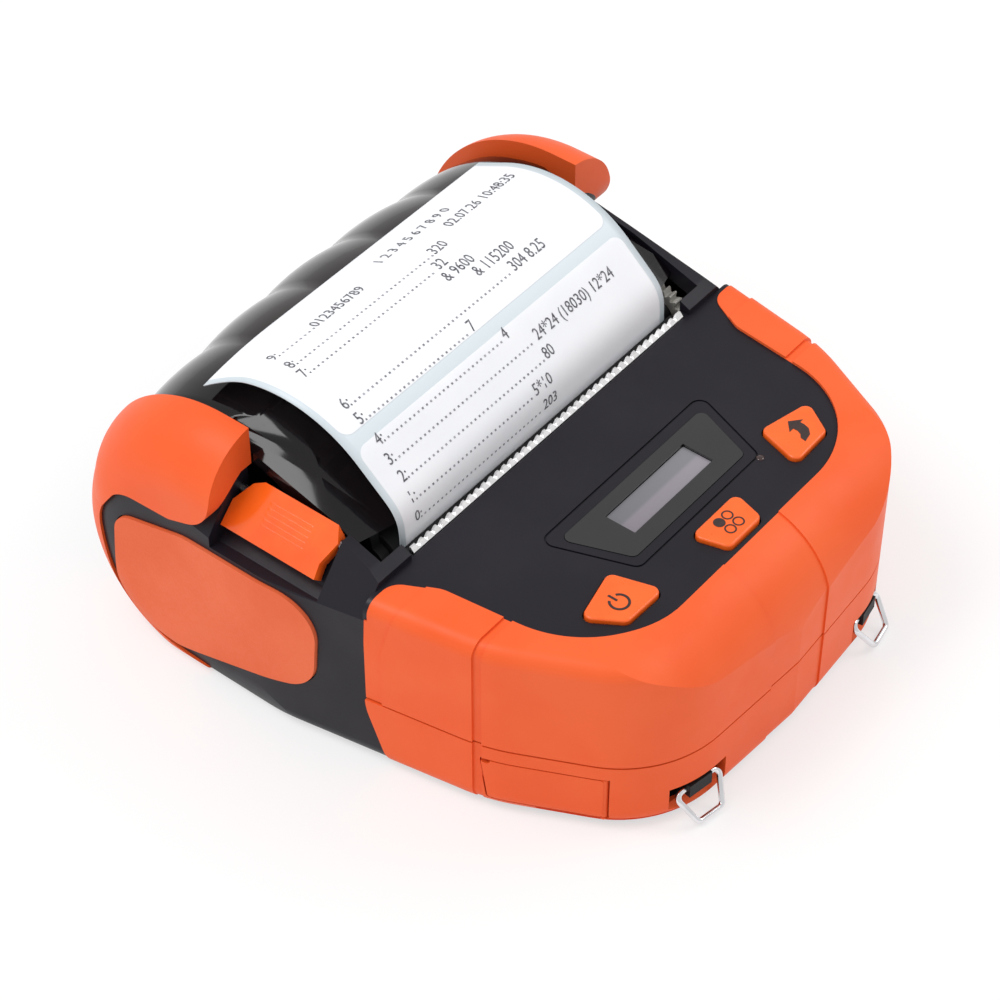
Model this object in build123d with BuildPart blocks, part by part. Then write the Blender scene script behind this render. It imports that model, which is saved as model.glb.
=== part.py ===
"""Mobile label printer for 80 mm media: a two-part case with rubber bumpers, a fluted paper cover
that carries the platen, a geared paper drive, a removable battery and a dust flap over the ports.

Frame: X to the user's right, Y from the front to the back, Z up from the table. The origin lies on
the flat bottom, in the middle of the width, 64.4 mm behind the front. Millimetres.
"""

import os
from math import atan2, cos, degrees, hypot, pi, radians, sin, tan

from build123d import *

# Case
width = 120.0            # over the grip pads
front_y = -64.4          # foremost point of the bumper
barrel_y = 34.5          # axis that the rounded back of the case follows
barrel_z = 23.0
barrel_r = 31.3
pod_r = 32.5             # rear corner bumpers, about the axis of the roll
flank_r = 15.0           # rounding between the top, back or bottom and the side walls
nose_top = 42.6          # top of the bumper around the panel
nose_r = 17.0            # rounding at the top of the front
cheek_r = 3.2            # rounding along the top of the bumper's sides
foot_r = 4.6             # rounding along the bottom
seam_z = 17.2            # joint between the lower and upper halves
seam_gap = 0.4
proud = 0.6              # bumpers and pads stand this far over the dark case
bumper_t = 2.2
wall = 2.2
floor_t = 2.4
bumper_end = -7.2        # where the front bumper stops along the side
lip_z = 1.2              # underside of the front bumper
groove_w = 1.8
groove_d = 0.5
groove_y = -30.0         # upright groove in each side of the bumper
band_x = 8.6             # half width of the recessed band in the middle of the front
fit_gap = 0.3            # between pieces that move
seat_gap = 0.1           # between fixed pieces that lie in a pocket

# Cover and roll
drum_y = 31.0
drum_z = 27.0
drum_r = 33.7            # crests of the flutes
flute_count = 5
flute_pitch = 18.5
flute_depth = 1.8
flute_step = 0.3         # crests lie this much below the smooth brow
cover_crown = 3.0        # how much lower its ends are than its middle
cover_t = 3.3
cover_w = 95.4
cover_front = (-4.6, 44.6)
cover_low = -26.0        # angle of the lower edge behind the roll, degrees
hinge_y = 57.2
hinge_z = 9.6
hinge_r = 2.5
pin_r = 1.1
bore_gap = 0.05          # radial clearance of a shaft or pin in its hole
paper_w = 80.0
paper_t = 0.25
roll_r = 23.0
core_r = 7.6
core_bore = 6.4
guide_t = 2.0
guide_travel = 5.0

# Paper drive
platen_y = 1.95
platen_z = 36.5
platen_r = 5.0
shaft_r = 2.0
module = 0.5
platen_teeth = 20
idler_teeth = 34
pinion_teeth = 12
gear_x = (45.0, 47.2)
motor_r = 7.0

# Panel and controls
panel_z = nose_top - proud
panel_low = panel_z - 2.4   # underside of the panel
tear_y = (-6.7, -5.6)
button_rise = 0.9
button_travel = 0.8
lens_t = 1.4

# Battery bay
battery_w = 49.2
battery_y = (-55.2, -15.6)
battery_h = 18.0
battery_travel = 25.0

os.makedirs("parts", exist_ok=True)


def slab(x, y, z, mode=Mode.ADD):
    """Box between (low, high) pairs."""
    with Locations(((x[0] + x[1]) / 2, (y[0] + y[1]) / 2, (z[0] + z[1]) / 2)):
        Box(x[1] - x[0], y[1] - y[0], z[1] - z[0], mode=mode)


def rod(y, z, r, x, mode=Mode.ADD):
    """Cylinder along X, from x[0] to x[1]."""
    with BuildSketch(Plane.YZ.offset(x[0])) as disc:
        with Locations((y, z)):
            Circle(r)
    extrude(disc.sketch, amount=x[1] - x[0], mode=mode)


def save(part, label):
    part.label = label
    export_step(part, f"parts/{label}.step")


def side_prism(points, radii, inset=0.0, reach=80.0):
    """Solid across the whole width from a side view (Y, Z) with rounded corners."""
    with BuildPart() as prism:
        with BuildSketch(Plane.YZ):
            with BuildLine():
                FilletPolyline(*points, radius=radii, close=True)
            make_face()
            if inset:
                offset(amount=-inset, kind=Kind.INTERSECTION)
        extrude(amount=reach, both=True)
    return prism.part


def plate(points, rounding, low, high, grow=0.0):
    """Horizontal plate with a rounded outline, between two heights."""
    with BuildPart() as sheet:
        with BuildSketch(Plane.XY.offset(low)):
            with BuildLine():
                FilletPolyline(*points, radius=rounding, close=True)
            make_face()
            if grow:
                offset(amount=grow)
        extrude(amount=high - low)
    return sheet.part


# Outer form of the case, moved inwards by an inset: every skin of the case comes from it.
side_view = [(front_y, -20), (front_y, nose_top), (-10, nose_top), (-4.8, nose_top + 2.6), (11, 50.4),
             (25, 52.9), (barrel_y, barrel_z + barrel_r), (80, barrel_z + barrel_r), (80, -20)]
side_radii = [1, nose_r, 3, 6, 20, 20, 10, 1, 1]
plan_view = [(0, front_y), (37.6, front_y + 2.4), (52.2, -32), (width / 2, 12), (width / 2, 90), (0, 90)]
plan_radii = [None, 24, 40, 50]


def plan_face(inset):
    """Plan of the case, widest at the back, with rounded front corners."""
    half = plan_view[1:5]
    with BuildSketch() as plan:
        with BuildLine():
            Polyline((0, front_y), *half, *[(-x, y) for x, y in reversed(half)], (0, front_y))
        make_face()
        for (_, y), radius in list(zip(plan_view, plan_radii))[1:]:
            fillet(plan.vertices().filter_by_position(Axis.Y, y - 0.1, y + 0.1), radius)
        if inset:
            offset(amount=-inset, kind=Kind.INTERSECTION)
    return plan.sketch


def case_form(inset):
    with BuildPart() as nose:
        with BuildSketch(Plane.XY.offset(-1)):
            add(plan_face(inset))
        extrude(amount=nose_top - inset + 1)
        if cheek_r > inset + 0.5:
            fillet(nose.faces().sort_by(Axis.Z)[-1].edges(), cheek_r - inset)
        slab((-70, 70), (bumper_end, 100), (-1, 80))
    with BuildPart() as column:
        with BuildSketch():
            add(plan_face(inset))
        extrude(amount=80)
        if foot_r > inset + 0.5:
            fillet(column.faces().sort_by(Axis.Z)[0].edges(), foot_r - inset)
    with BuildPart() as form:
        with BuildSketch(Plane.XZ.offset(-barrel_y)):
            with Locations((0, barrel_z)):
                RectangleRounded(width - 2 * inset, 2 * (barrel_r - inset), flank_r - inset)
        extrude(amount=barrel_y + 80)
        with BuildSketch(Plane.XZ.offset(-barrel_y)):
            with Locations((0, barrel_z)):
                RectangleRounded(width - 2 * inset, 2 * (barrel_r - inset), flank_r - inset)
                with Locations((0, -barrel_r)):
                    Rectangle(width + 10, 2 * barrel_r, mode=Mode.SUBTRACT)
        revolve(axis=Axis((0, barrel_y, barrel_z), (-1, 0, 0)), revolution_arc=180)
        add(nose.part, mode=Mode.INTERSECT)
        add(column.part, mode=Mode.INTERSECT)
        add(side_prism(side_view, side_radii, inset), mode=Mode.INTERSECT)
        split(bisect_by=Plane.XY, keep=Keep.TOP)
    return form.part


def chamfer_wedge(side, depth):
    """Everything outside the sloping shoulder of one side, from the bumper's end backwards."""
    slope = Vector(side * 0.785, -0.12, 0.62).normalized()
    with BuildPart() as wedge:
        with BuildSketch(Plane(origin=slope * (67.6 - depth), x_dir=(0, 1, 0.1935), z_dir=slope)):
            Rectangle(260, 260)
        extrude(amount=80)
        slab((-90, 90), (bumper_end, 140), (-10, 140), mode=Mode.INTERSECT)
    return wedge.part


skin = case_form(0)
step_skin = case_form(0.35)
groove_skin = case_form(groove_d)
dark_form = case_form(proud)
pad_bed = case_form(proud + 1.2)
core_form = case_form(bumper_t)
inner_form = case_form(bumper_t + wall)
cover_gap_x = cover_w / 2 + fit_gap

# Rear corner bumpers: side view (Y, Z) of the region that they cover, and their bulging outer form
rear_lip = 0.6           # underside of the rear bumpers over the table
rear_view = [(25.4, 75), (25.4, 43.0), (36, 39.2), (49, 38.6), (56.4, 28), (53.4, 7.5), (40, 3.0), (30.5, 1.8),
             (30.5, rear_lip), (60.8, rear_lip), (60.8, 75)]
with BuildPart() as rear_zone:
    add(side_prism(rear_view, [1, 9, 4, 8, 9, 12, 15, 0.5, 0.3, 0.3, 1]))
    slab((-cover_gap_x, cover_gap_x), (-20, 90), (-30, 90), mode=Mode.SUBTRACT)
with BuildPart() as pod_form:
    with BuildSketch(Plane.XZ.offset(-drum_y)):
        with Locations((0, drum_z)):
            RectangleRounded(width, 2 * pod_r, 13)
    extrude(amount=20)
    with BuildSketch(Plane.XZ.offset(-drum_y)):
        with Locations((0, drum_z)):
            RectangleRounded(width, 2 * pod_r, 13)
            with Locations((0, -pod_r)):
                Rectangle(width + 10, 2 * pod_r, mode=Mode.SUBTRACT)
    revolve(axis=Axis((0, drum_y, drum_z), (-1, 0, 0)), revolution_arc=120)
    slab((-80, 80), (10, 80), (drum_z + 3, 80), mode=Mode.INTERSECT)

panel_plan = [(-40.8, -51.6), (40.8, -51.6), (44.9, -16.5), (49.2, bumper_end - 1), (64, bumper_end - 1),
              (64, 60), (-64, 60), (-64, bumper_end - 1), (-49.2, bumper_end - 1), (-44.9, -16.5)]
with BuildSketch() as panel_outline:
    with BuildLine():
        FilletPolyline(*panel_plan, radius=[22, 22, 6, 4, 1, 1, 1, 1, 4, 6], close=True)
    make_face()
bumper_view = [(-90, lip_z), (-90, 90), (bumper_end - 2.8, 90), (bumper_end - 0.1, 32), (bumper_end - 0.1, 15),
               (bumper_end - 4.6, lip_z)]
with BuildPart() as front_zone:
    add(side_prism(bumper_view, [1, 1, 1, 20, 14, 1]))
    with BuildSketch(Plane.XY.offset(panel_z - 4)):
        add(panel_outline.sketch)
    extrude(amount=40, mode=Mode.SUBTRACT)

pad_view = [(2.0, 36.2), (33, 36.2), (50.6, 31.6), (53.2, 4.8), (37, 4.4), (3.6, 14.2)]
pad_radii = [9, 15, 6, 10, 8, 8]
pad_prism = side_prism(pad_view, pad_radii)
pad_pocket = side_prism(pad_view, pad_radii, -0.25)

# Port flap on the left flank: frame along the flank from its rear end, x along it, y up
flank_a, flank_b = Vector(-plan_view[2][0], plan_view[2][1]), Vector(-plan_view[1][0], plan_view[1][1])
flank_dir = (flank_b - flank_a).normalized()
flank_out = Vector(flank_dir.Y, -flank_dir.X)
flank = Plane(origin=flank_a, x_dir=flank_dir, z_dir=flank_out)
flap_s, flap_z = (-1.2, 23.4), (3.4, 13.6)
flap_t = bumper_t - 0.3
flap_hinge = (flap_s[1] - 1.8, -1.05)    # its vertical axis: along the flank, and below the skin
flap_barrel_r, flap_pin_r = 0.85, 0.55
flap_outline = [(flap_s[0], flap_z[1]), (flap_hinge[0], flap_z[1]), (flap_hinge[0], flap_z[0]),
                (flap_s[0] + 1.4, flap_z[0])]


def flank_prism(points, depth, grow=0.0, rounding=0.8):
    """Prism through the left flank between two depths, outward positive."""
    with BuildPart() as prism:
        with BuildSketch(flank.offset(depth[0])):
            with BuildLine():
                FilletPolyline(*points, radius=rounding, close=True)
            make_face()
            if grow:
                offset(amount=grow, kind=Kind.INTERSECTION)
        extrude(amount=depth[1] - depth[0])
    return prism.part


def flap_rod(r, z):
    """Upright cylinder on the flap's axis."""
    with BuildPart() as upright:
        with Locations(flank.location * Location((flap_hinge[0], (z[0] + z[1]) / 2, flap_hinge[1]))):
            Cylinder(r, z[1] - z[0], rotation=(90, 0, 0))
    return upright.part


# Strap loops: one frame at each hinge, x along the wall, y up, z outwards
strap_z = 6.8
strap_turn = 10.0
strap_w, strap_drop, strap_tip = 11.2, 6.9, 6.0
wire_r = 0.6
strap_tilt = 36.0
recess_w, recess_h, recess_d = 13.4, 4.8, 2.8


def strap_plane(side):
    turn = radians(strap_turn)
    return Plane(origin=(side * 27.4, front_y + 3.2, strap_z), x_dir=(cos(turn), side * sin(turn), 0),
                 z_dir=(side * sin(turn), -cos(turn), 0))


def strap_recess(side):
    """Pocket in the front wall with a sloping lower lip."""
    frame = strap_plane(side)
    across = Plane(origin=frame.origin - frame.x_dir * recess_w / 2, x_dir=frame.z_dir, z_dir=-frame.x_dir)
    with BuildPart() as recess:
        with BuildSketch(across):
            Polygon((-recess_d, recess_h / 2), (6, recess_h / 2), (6, -6.4), (0.5, -recess_h / 2 - 1.4),
                    (-1.0, -recess_h / 2), (-recess_d, -recess_h / 2), align=None)
        extrude(amount=-recess_w)
    return recess.part


def strap_backing(side):
    """Block behind the pocket, inside the bumper."""
    with BuildPart() as backing:
        with BuildSketch(strap_plane(side).offset(-6.4)):
            Rectangle(recess_w + 3, recess_h + 4)
        extrude(amount=6.4)
        add(core_form, mode=Mode.INTERSECT)
    return backing.part


port_s = 2.0             # rear end of the recess, along the flank
port_view = [(port_s, 12), (port_s + 17, 12), (port_s + 17, 5), (port_s, 5)]
screw_places = [(-30.5, -52.3), (30.5, -52.3), (-52.0, 36), (52.0, 36)]

# Lower and upper housing
gear_gap = 0.3
open_dir = Vector(platen_z - hinge_z, hinge_y - platen_y).normalized()
pitch_1 = module * (platen_teeth + idler_teeth) / 2
pitch_2 = module * (idler_teeth + pinion_teeth) / 2
idler_y, idler_z = platen_y - pitch_1 * open_dir.X, platen_z - pitch_1 * open_dir.Y
pinion_y, pinion_z = idler_y - 0.97 * pitch_2, idler_z - 0.243 * pitch_2
bay_wall_x = (cover_gap_x + 0.3, cover_gap_x + 1.9)
latch_y = (2.6, 26.2)
latch_axis = (-49.7, 45.4)
latch_pin_r = 0.8
latch_swing = 12.0       # degrees

with BuildPart() as hollow:
    add(inner_form)
    for side in (-1, 1):
        add(chamfer_wedge(side, 3.4), mode=Mode.SUBTRACT)
    slab((-100, 100), (-100, 100), (-10, floor_t), mode=Mode.SUBTRACT)
    # bay walls beside the roll
    for side in (-1, 1):
        slab(sorted((side * bay_wall_x[0], side * bay_wall_x[1])), (9, 80), (0, 80), mode=Mode.SUBTRACT)
    # solid seat behind the latch lever
    slab((-80, -cover_gap_x), (latch_y[0] - 2.5, latch_y[1] + 2.5), (33.5, 80), mode=Mode.SUBTRACT)
    # thinner panel
    add(plate([(-38, -9), (-38, -41), (-30, -51.4), (30, -51.4), (38, -41), (38, -9)], 2.0, 30, panel_low))
    slab((-39, 39), (-9, 4), (30, panel_low))
    # rib that backs the head springs, and bosses of the housing screws
    slab((-30, 26), (-13.8, -12.2), (29, 60), mode=Mode.SUBTRACT)
    for x, y in screw_places:
        with Locations((x, y, 30)):
            Cylinder(3.2, 80, mode=Mode.SUBTRACT)

with BuildPart() as dark:
    add(dark_form)
    for side in (-1, 1):
        add(chamfer_wedge(side, 0), mode=Mode.SUBTRACT)
    add(rear_zone.part, mode=Mode.SUBTRACT)
with BuildPart() as rear_core:
    add(core_form)
    add(rear_zone.part, mode=Mode.INTERSECT)
with BuildPart() as front_bumper:
    add(skin)
    add(core_form, mode=Mode.SUBTRACT)
    add(front_zone.part, mode=Mode.INTERSECT)

with BuildPart() as case:
    add(dark.part)
    add(rear_core.part)
    add(front_bumper.part, mode=Mode.SUBTRACT)
    add(hollow.part, mode=Mode.SUBTRACT)
    # flat panel in front of the paper slot
    slab((-42.3, 42.3), (-16, 0), (panel_z, 80), mode=Mode.SUBTRACT)
    # opening for the cover, the channel round its hinge and the slot for the paper
    slab((-cover_gap_x, cover_gap_x), (cover_front[0] - fit_gap, 90), (17, 90), mode=Mode.SUBTRACT)
    slab((-cover_gap_x, cover_gap_x), (hinge_y - 5.2, 90), (hinge_z, 90), mode=Mode.SUBTRACT)
    rod(hinge_y, hinge_z, 5.2, (-cover_gap_x, cover_gap_x), mode=Mode.SUBTRACT)
    slab((-41.4, 41.4), (tear_y[0] - seat_gap, 0), (30, 90), mode=Mode.SUBTRACT)
    # beds of the grip pads
    add(pad_pocket - pad_bed, mode=Mode.SUBTRACT)
    # pocket of the latch lever with the finger recess below it
    with BuildSketch(Plane.XZ.offset(-latch_y[0] + fit_gap)):
        Polygon((-cover_gap_x + 1, 60), (-cover_gap_x + 1, 43.0), (-49.6, 43.0), (-54.6, 38.4),
                (-57.0, 37.4), (-70, 37.4), (-70, 60), align=None)
    extrude(amount=-(latch_y[1] - latch_y[0] + 2 * fit_gap), mode=Mode.SUBTRACT)
    with BuildSketch(Plane.XZ.offset(-latch_y[0] + 2.0)):
        with Locations(latch_axis):
            Circle(latch_pin_r)
    extrude(amount=-(latch_y[1] - latch_y[0] + 4.0), mode=Mode.SUBTRACT)
    # room for the platen and its gear under the cover's front edge
    slab((-cover_gap_x, cover_gap_x), (platen_y - 6.2, 12), (30, 60), mode=Mode.SUBTRACT)

# Display, buttons
lens_plan = [(-22, -24.8), (22, -24.8), (17, -38.2), (-17, -38.2)]
score_plan = [(-25, -22.3), (25, -22.3), (18.5, -40.4), (-18.5, -40.4)]
window = ((-12.2, 12.2), (-34.6, -27.5))
buttons = {
    "power_button": [(-23.6, -37.0), (-20.5, -47.3), (-31.0, -47.0), (-35.6, -39.8)],
    "menu_button": [(-7.1, -43.1), (7.1, -43.1), (5.0, -50.4), (-5.0, -50.4)],
    "feed_button": [(23.6, -37.0), (20.5, -47.3), (31.0, -47.0), (35.6, -39.8)],
}
button_round = 1.6


bay_top = battery_h + 0.6
bay = ((-battery_w / 2 - fit_gap, battery_w / 2 + fit_gap), (battery_y[0] - fit_gap, battery_y[1] + fit_gap))

with BuildPart() as upper_housing:
    add(case.part)
    split(bisect_by=Plane.XY.offset(seam_z), keep=Keep.TOP)
    add(plate(lens_plan, 1.5, panel_z - lens_t, 60, seat_gap), mode=Mode.SUBTRACT)
    slab(*[(low - 0.1, high + 0.1) for low, high in window], (30, 60), mode=Mode.SUBTRACT)
    add(plate(score_plan, 2.0, panel_z - 0.35, 60, 0.2) - plate(score_plan, 2.0, 30, 70, -0.2),
        mode=Mode.SUBTRACT)
    for outline in buttons.values():
        add(plate(outline, button_round, 30, 60, fit_gap), mode=Mode.SUBTRACT)
save(upper_housing.part, "upper_housing")

with BuildPart() as lower_housing:
    add(case.part)
    split(bisect_by=Plane.XY.offset(seam_z), keep=Keep.BOTTOM)
    # battery bay, open below
    slab((bay[0][0] - 1.6, bay[0][1] + 1.6), (bay[1][0] - 1.6, bay[1][1] + 1.6), (floor_t - 1, bay_top + 1.4))
    # finger notch behind the battery for its latch
    slab((-6.3, 6.3), (bay[1][1], bay[1][1] + 6.3), (-1, 1.6), mode=Mode.SUBTRACT)
    # bulkhead between the roll and the drive
    slab((-bay_wall_x[0], bay_wall_x[0]), (8.0, 9.6), (floor_t - 0.5, seam_z - 2))
    # rail of the roll guides
    slab((-bay_wall_x[0] + 0.3, bay_wall_x[0] - 0.3), (drum_y - 3, drum_y + 3), (floor_t - 0.5, floor_t + 1.0))
    # posts of the main board
    for x in (-20, 20):
        for y in (-48, -18):
            with Locations((x, y, (bay_top + 34) / 2)):
                Cylinder(2.0, 34 - bay_top)
    # backing of the strap recesses, port recess, then the recesses
    for side in (-1, 1):
        add(strap_backing(side))
        add(strap_recess(side), mode=Mode.SUBTRACT)
    add(flank_prism(port_view, (-9, -3), 1.2) & core_form)
    add(flank_prism(port_view, (-9.5, 0)), mode=Mode.SUBTRACT)
    for s in (port_s + 3, port_s + 12):
        add(flank_prism([(s, 4.6), (s + 2, 4.6), (s + 2, 2), (s, 2)], (-17, -10), rounding=0.1))
    slab(*bay, (-1, bay_top), mode=Mode.SUBTRACT)
    # knuckles of the cover hinge
    for low, high in ((-33.6, -6.4), (6.4, 33.6)):
        with BuildSketch(Plane.YZ.offset(low)) as knuckle:
            with Locations((hinge_y, hinge_z)):
                Circle(hinge_r)
            with Locations((hinge_y - 1.4, hinge_z / 2)):
                Rectangle(4.6, hinge_z)
        extrude(knuckle.sketch, amount=high - low)
    add(dark_form, mode=Mode.INTERSECT)
    rod(hinge_y, hinge_z, pin_r, (-cover_gap_x, cover_gap_x), mode=Mode.SUBTRACT)
    # screw holes
    for x, y in screw_places:
        with Locations((x, y, 0)):
            with Locations(Rotation(180, 0, 0)):
                CounterBoreHole(1.3, 2.7, 2.2, 40)
save(lower_housing.part, "lower_housing")

# Bumpers and pads
with BuildPart() as band:
    add(skin - step_skin)
    slab((-band_x, band_x), (-90, -48), (-1, 60), mode=Mode.INTERSECT)
with BuildPart() as side_grooves:
    add(skin - groove_skin)
    with BuildPart(mode=Mode.PRIVATE) as lines:
        slab((-90, 90), (groove_y - groove_w / 2, groove_y + groove_w / 2), (-1, 60))
        for x in (-60, 60):
            slab((x - 30, x + 30), (-90, -40), (2.2, 3.0))
        slab((-25, 25), (-90, -50), (2.2, 3.0), mode=Mode.SUBTRACT)
    add(lines.part, mode=Mode.INTERSECT)
step_view = [(bumper_end - 3.6, seam_z - 2), (bumper_end - 3.6, 31), (bumper_end - 6.8, 43), (bumper_end - 6.8, 70),
             (30, 70), (30, seam_z - 2)]
with BuildPart() as bumper_step:
    add(skin - step_skin)
    add(side_prism(step_view, [0.5, 12, 3, 0.5, 0.5, 0.5]), mode=Mode.INTERSECT)

with BuildPart() as front_bumper_upper:
    add(front_bumper.part)
    split(bisect_by=Plane.XY.offset(seam_z + seam_gap / 2), keep=Keep.TOP)
    add(band.part, mode=Mode.SUBTRACT)
    add(side_grooves.part, mode=Mode.SUBTRACT)
    add(bumper_step.part, mode=Mode.SUBTRACT)
save(front_bumper_upper.part, "front_bumper_upper")

with BuildPart() as front_bumper_lower:
    add(front_bumper.part)
    split(bisect_by=Plane.XY.offset(seam_z - seam_gap / 2), keep=Keep.BOTTOM)
    add(band.part, mode=Mode.SUBTRACT)
    add(side_grooves.part, mode=Mode.SUBTRACT)
    add(flank_prism(flap_outline, (-5, 5), fit_gap), mode=Mode.SUBTRACT)
    add(flap_rod(-flap_hinge[1] + fit_gap, (flap_z[0] - fit_gap, flap_z[1] + fit_gap)), mode=Mode.SUBTRACT)
    add(flap_rod(flap_pin_r + bore_gap, (flap_z[0] - 1.1, flap_z[1] + 1.1)), mode=Mode.SUBTRACT)
    for side in (-1, 1):
        add(strap_recess(side), mode=Mode.SUBTRACT)
save(front_bumper_lower.part, "front_bumper_lower")

with BuildPart() as port_flap:
    add(flank_prism(flap_outline, (-flap_t, 5)))
    add(flap_rod(flap_barrel_r, flap_z))
    add(skin, mode=Mode.INTERSECT)
    add(flap_rod(flap_pin_r, (flap_z[0] - 1.0, flap_z[1] + 1.0)))
    with Locations(flank.location * Location((flap_s[0] + 1.0, flap_z[1], 0))):
        Cylinder(0.9, 6, mode=Mode.SUBTRACT)
save(port_flap.part, "port_flap")

with BuildPart() as rear_bumpers:
    add(skin)
    add(pod_form.part)
    add(core_form, mode=Mode.SUBTRACT)
    add(rear_zone.part, mode=Mode.INTERSECT)
with BuildPart() as pads:
    add(pad_prism)
    add(skin, mode=Mode.INTERSECT)
    add(pad_bed, mode=Mode.SUBTRACT)
for name, keep in (("left", Keep.BOTTOM), ("right", Keep.TOP)):
    with BuildPart() as rear_bumper:
        add(rear_bumpers.part)
        split(bisect_by=Plane.YZ, keep=keep)
    save(rear_bumper.part, f"rear_bumper_{name}")
    with BuildPart() as side_pad:
        add(pads.part)
        split(bisect_by=Plane.YZ, keep=keep)
    save(side_pad.part, f"side_pad_{name}")

# Paper cover
drum_axis = Axis((0, drum_y, drum_z), (1, 0, 0))


def drum_plane(angle):
    """Plane through the drum's axis, x along it, y outwards at an angle above the back."""
    turn = radians(angle)
    return Plane(origin=(0, drum_y, drum_z), x_dir=(1, 0, 0), z_dir=(0, -sin(turn), cos(turn)))


def tangent_point(radius, start):
    """Where a line from start touches the drum of this radius from above."""
    dy, dz = drum_y - start[0], drum_z - start[1]
    reach = hypot(dy, dz)
    rise = atan2(dz, dy) + atan2(radius, (reach ** 2 - radius ** 2) ** 0.5)
    along = (reach ** 2 - radius ** 2) ** 0.5
    return start[0] + along * cos(rise), start[1] + along * sin(rise)


flute_end = 97.0
half = cover_w / 2
edge_drop = 5.2
tangent_out = tangent_point(drum_r, cover_front)
touch_angle = degrees(atan2(tangent_out[1] - drum_z, tangent_out[0] - drum_y))
valley_r = drum_r - flute_depth


def crown(x):
    """Drop of the cover's surface at a distance from its middle."""
    return cover_crown * (x / half) ** 2


def side_slope(side, depth):
    """Everything above the sloping edge of one side of the cover's front."""
    slope = Vector(side * 0.595, -0.236, 0.804).normalized()
    with BuildPart() as wedge:
        with BuildSketch(Plane(origin=slope * (63.4 - depth), x_dir=(0, 1, 0.2935), z_dir=slope)):
            Rectangle(260, 260)
        extrude(amount=60)
    return wedge.part


edge_r = drum_r - edge_drop
brow_x = half - 7            # where the smooth brow turns down to the sides
slope_dir = (Vector(0, *cover_front) - Vector(0, *tangent_out)).normalized()
with BuildPart() as brow:
    # flat slope from the drum to the front edge, a little arched across
    with BuildSketch(Plane.YZ.offset(-half)):
        Polygon((drum_y, drum_z), tangent_out, cover_front, (cover_front[0], 30), align=None)
    extrude(amount=cover_w)
    with BuildSketch(Plane(origin=(0, *tangent_out), x_dir=(1, 0, 0), z_dir=slope_dir).offset(-40)):
        with BuildLine():
            ThreePointArc((-half - 1, -crown(half)), (0, 0), (half + 1, -crown(half)))
            Polyline((half + 1, -crown(half)), (half + 1, -60), (-half - 1, -60), (-half - 1, -crown(half)))
        make_face()
    extrude(amount=80, mode=Mode.INTERSECT)
with BuildPart() as cover_outer:
    with BuildSketch(drum_plane(cover_low)):
        with BuildLine():
            Line((-half, 0), (-half, edge_r))
            left = flute_count * flute_pitch / 2
            Line((-half, edge_r), (-left, valley_r - crown(left)))
            for i in range(flute_count):
                start = -left + i * flute_pitch
                middle, end = start + flute_pitch / 2, start + flute_pitch
                ThreePointArc((start, valley_r - crown(start)), (middle, drum_r - flute_step - crown(middle)),
                              (end, valley_r - crown(end)))
            Line((left, valley_r - crown(left)), (half, edge_r))
            Line((half, edge_r), (half, 0))
            Line((half, 0), (-half, 0))
        make_face()
    revolve(axis=drum_axis, revolution_arc=flute_end - cover_low)
    with BuildSketch(drum_plane(flute_end)):
        with BuildLine():
            Polyline((-half, 0), (-half, edge_r))
            ThreePointArc((-half, edge_r), (-half + 2.2, edge_r + 1.9), (-brow_x, drum_r - crown(brow_x)))
            ThreePointArc((-brow_x, drum_r - crown(brow_x)), (0, drum_r), (brow_x, drum_r - crown(brow_x)))
            ThreePointArc((brow_x, drum_r - crown(brow_x)), (half - 2.2, edge_r + 1.9), (half, edge_r))
            Line((half, edge_r), (half, 0))
            Line((half, 0), (-half, 0))
        make_face()
    revolve(axis=drum_axis, revolution_arc=touch_angle - flute_end)
    add(brow.part)
    for side in (-1, 1):
        add(side_slope(side, 0), mode=Mode.SUBTRACT)
    with BuildSketch():
        with Locations((0, cover_front[0] + 60)):
            RectangleRounded(cover_w, 120, 3)
    extrude(amount=90, mode=Mode.INTERSECT)

inner_front = (cover_front[0] + 3.0, cover_front[1] - 2.0)
inner_r = drum_r - cover_t
tangent_in = tangent_point(inner_r, inner_front)
with BuildPart() as cover_inner:
    with BuildSketch(drum_plane(cover_low - 8)):
        with BuildLine():
            inner_x, inner_end = half - 2, inner_r - crown(half - 2)
            ThreePointArc((-inner_x, inner_end), (0, inner_r), (inner_x, inner_end))
            Polyline((inner_x, inner_end), (inner_x, 0), (-inner_x, 0), (-inner_x, inner_end))
        make_face()
    revolve(axis=drum_axis, revolution_arc=touch_angle - cover_low + 8)
    with BuildSketch(Plane.YZ.offset(-half + 2)):
        Polygon((drum_y, drum_z), tangent_in, inner_front, (inner_front[0], 20), align=None)
    extrude(amount=cover_w - 4)
    for side in (-1, 1):
        add(side_slope(side, 2.4), mode=Mode.SUBTRACT)

with BuildPart() as paper_cover:
    add(cover_outer.part)
    add(cover_inner.part, mode=Mode.SUBTRACT)
    rod(drum_y, drum_z, roll_r + 1.5, (-60, 60), mode=Mode.SUBTRACT)
    with BuildSketch(Plane.YZ.offset(-60)):
        Polygon((-30, 0), (-30, 42.2), (9, 45.5), (17, 46.5), (31, 30), (31, 0), align=None)
    extrude(amount=120, mode=Mode.SUBTRACT)
    # slot for the paper
    slab((-paper_w / 2 - 1.2, paper_w / 2 + 1.2), (-30, cover_front[0] + 1.7), (0, 90), mode=Mode.SUBTRACT)
    # hinge barrels
    for low, high in ((-44, -34), (-6, 6), (34, 44)):
        with BuildSketch(Plane.YZ.offset(low)) as barrel:
            with Locations((hinge_y, hinge_z)):
                Circle(hinge_r)
            Polygon((55.9, 11.0), (58.3, 14.0), (61.0, 12.5), (59.4, 9.0), align=None)
        extrude(barrel.sketch, amount=high - low)
    rod(hinge_y, hinge_z, pin_r + bore_gap, (-60, 60), mode=Mode.SUBTRACT)
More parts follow.
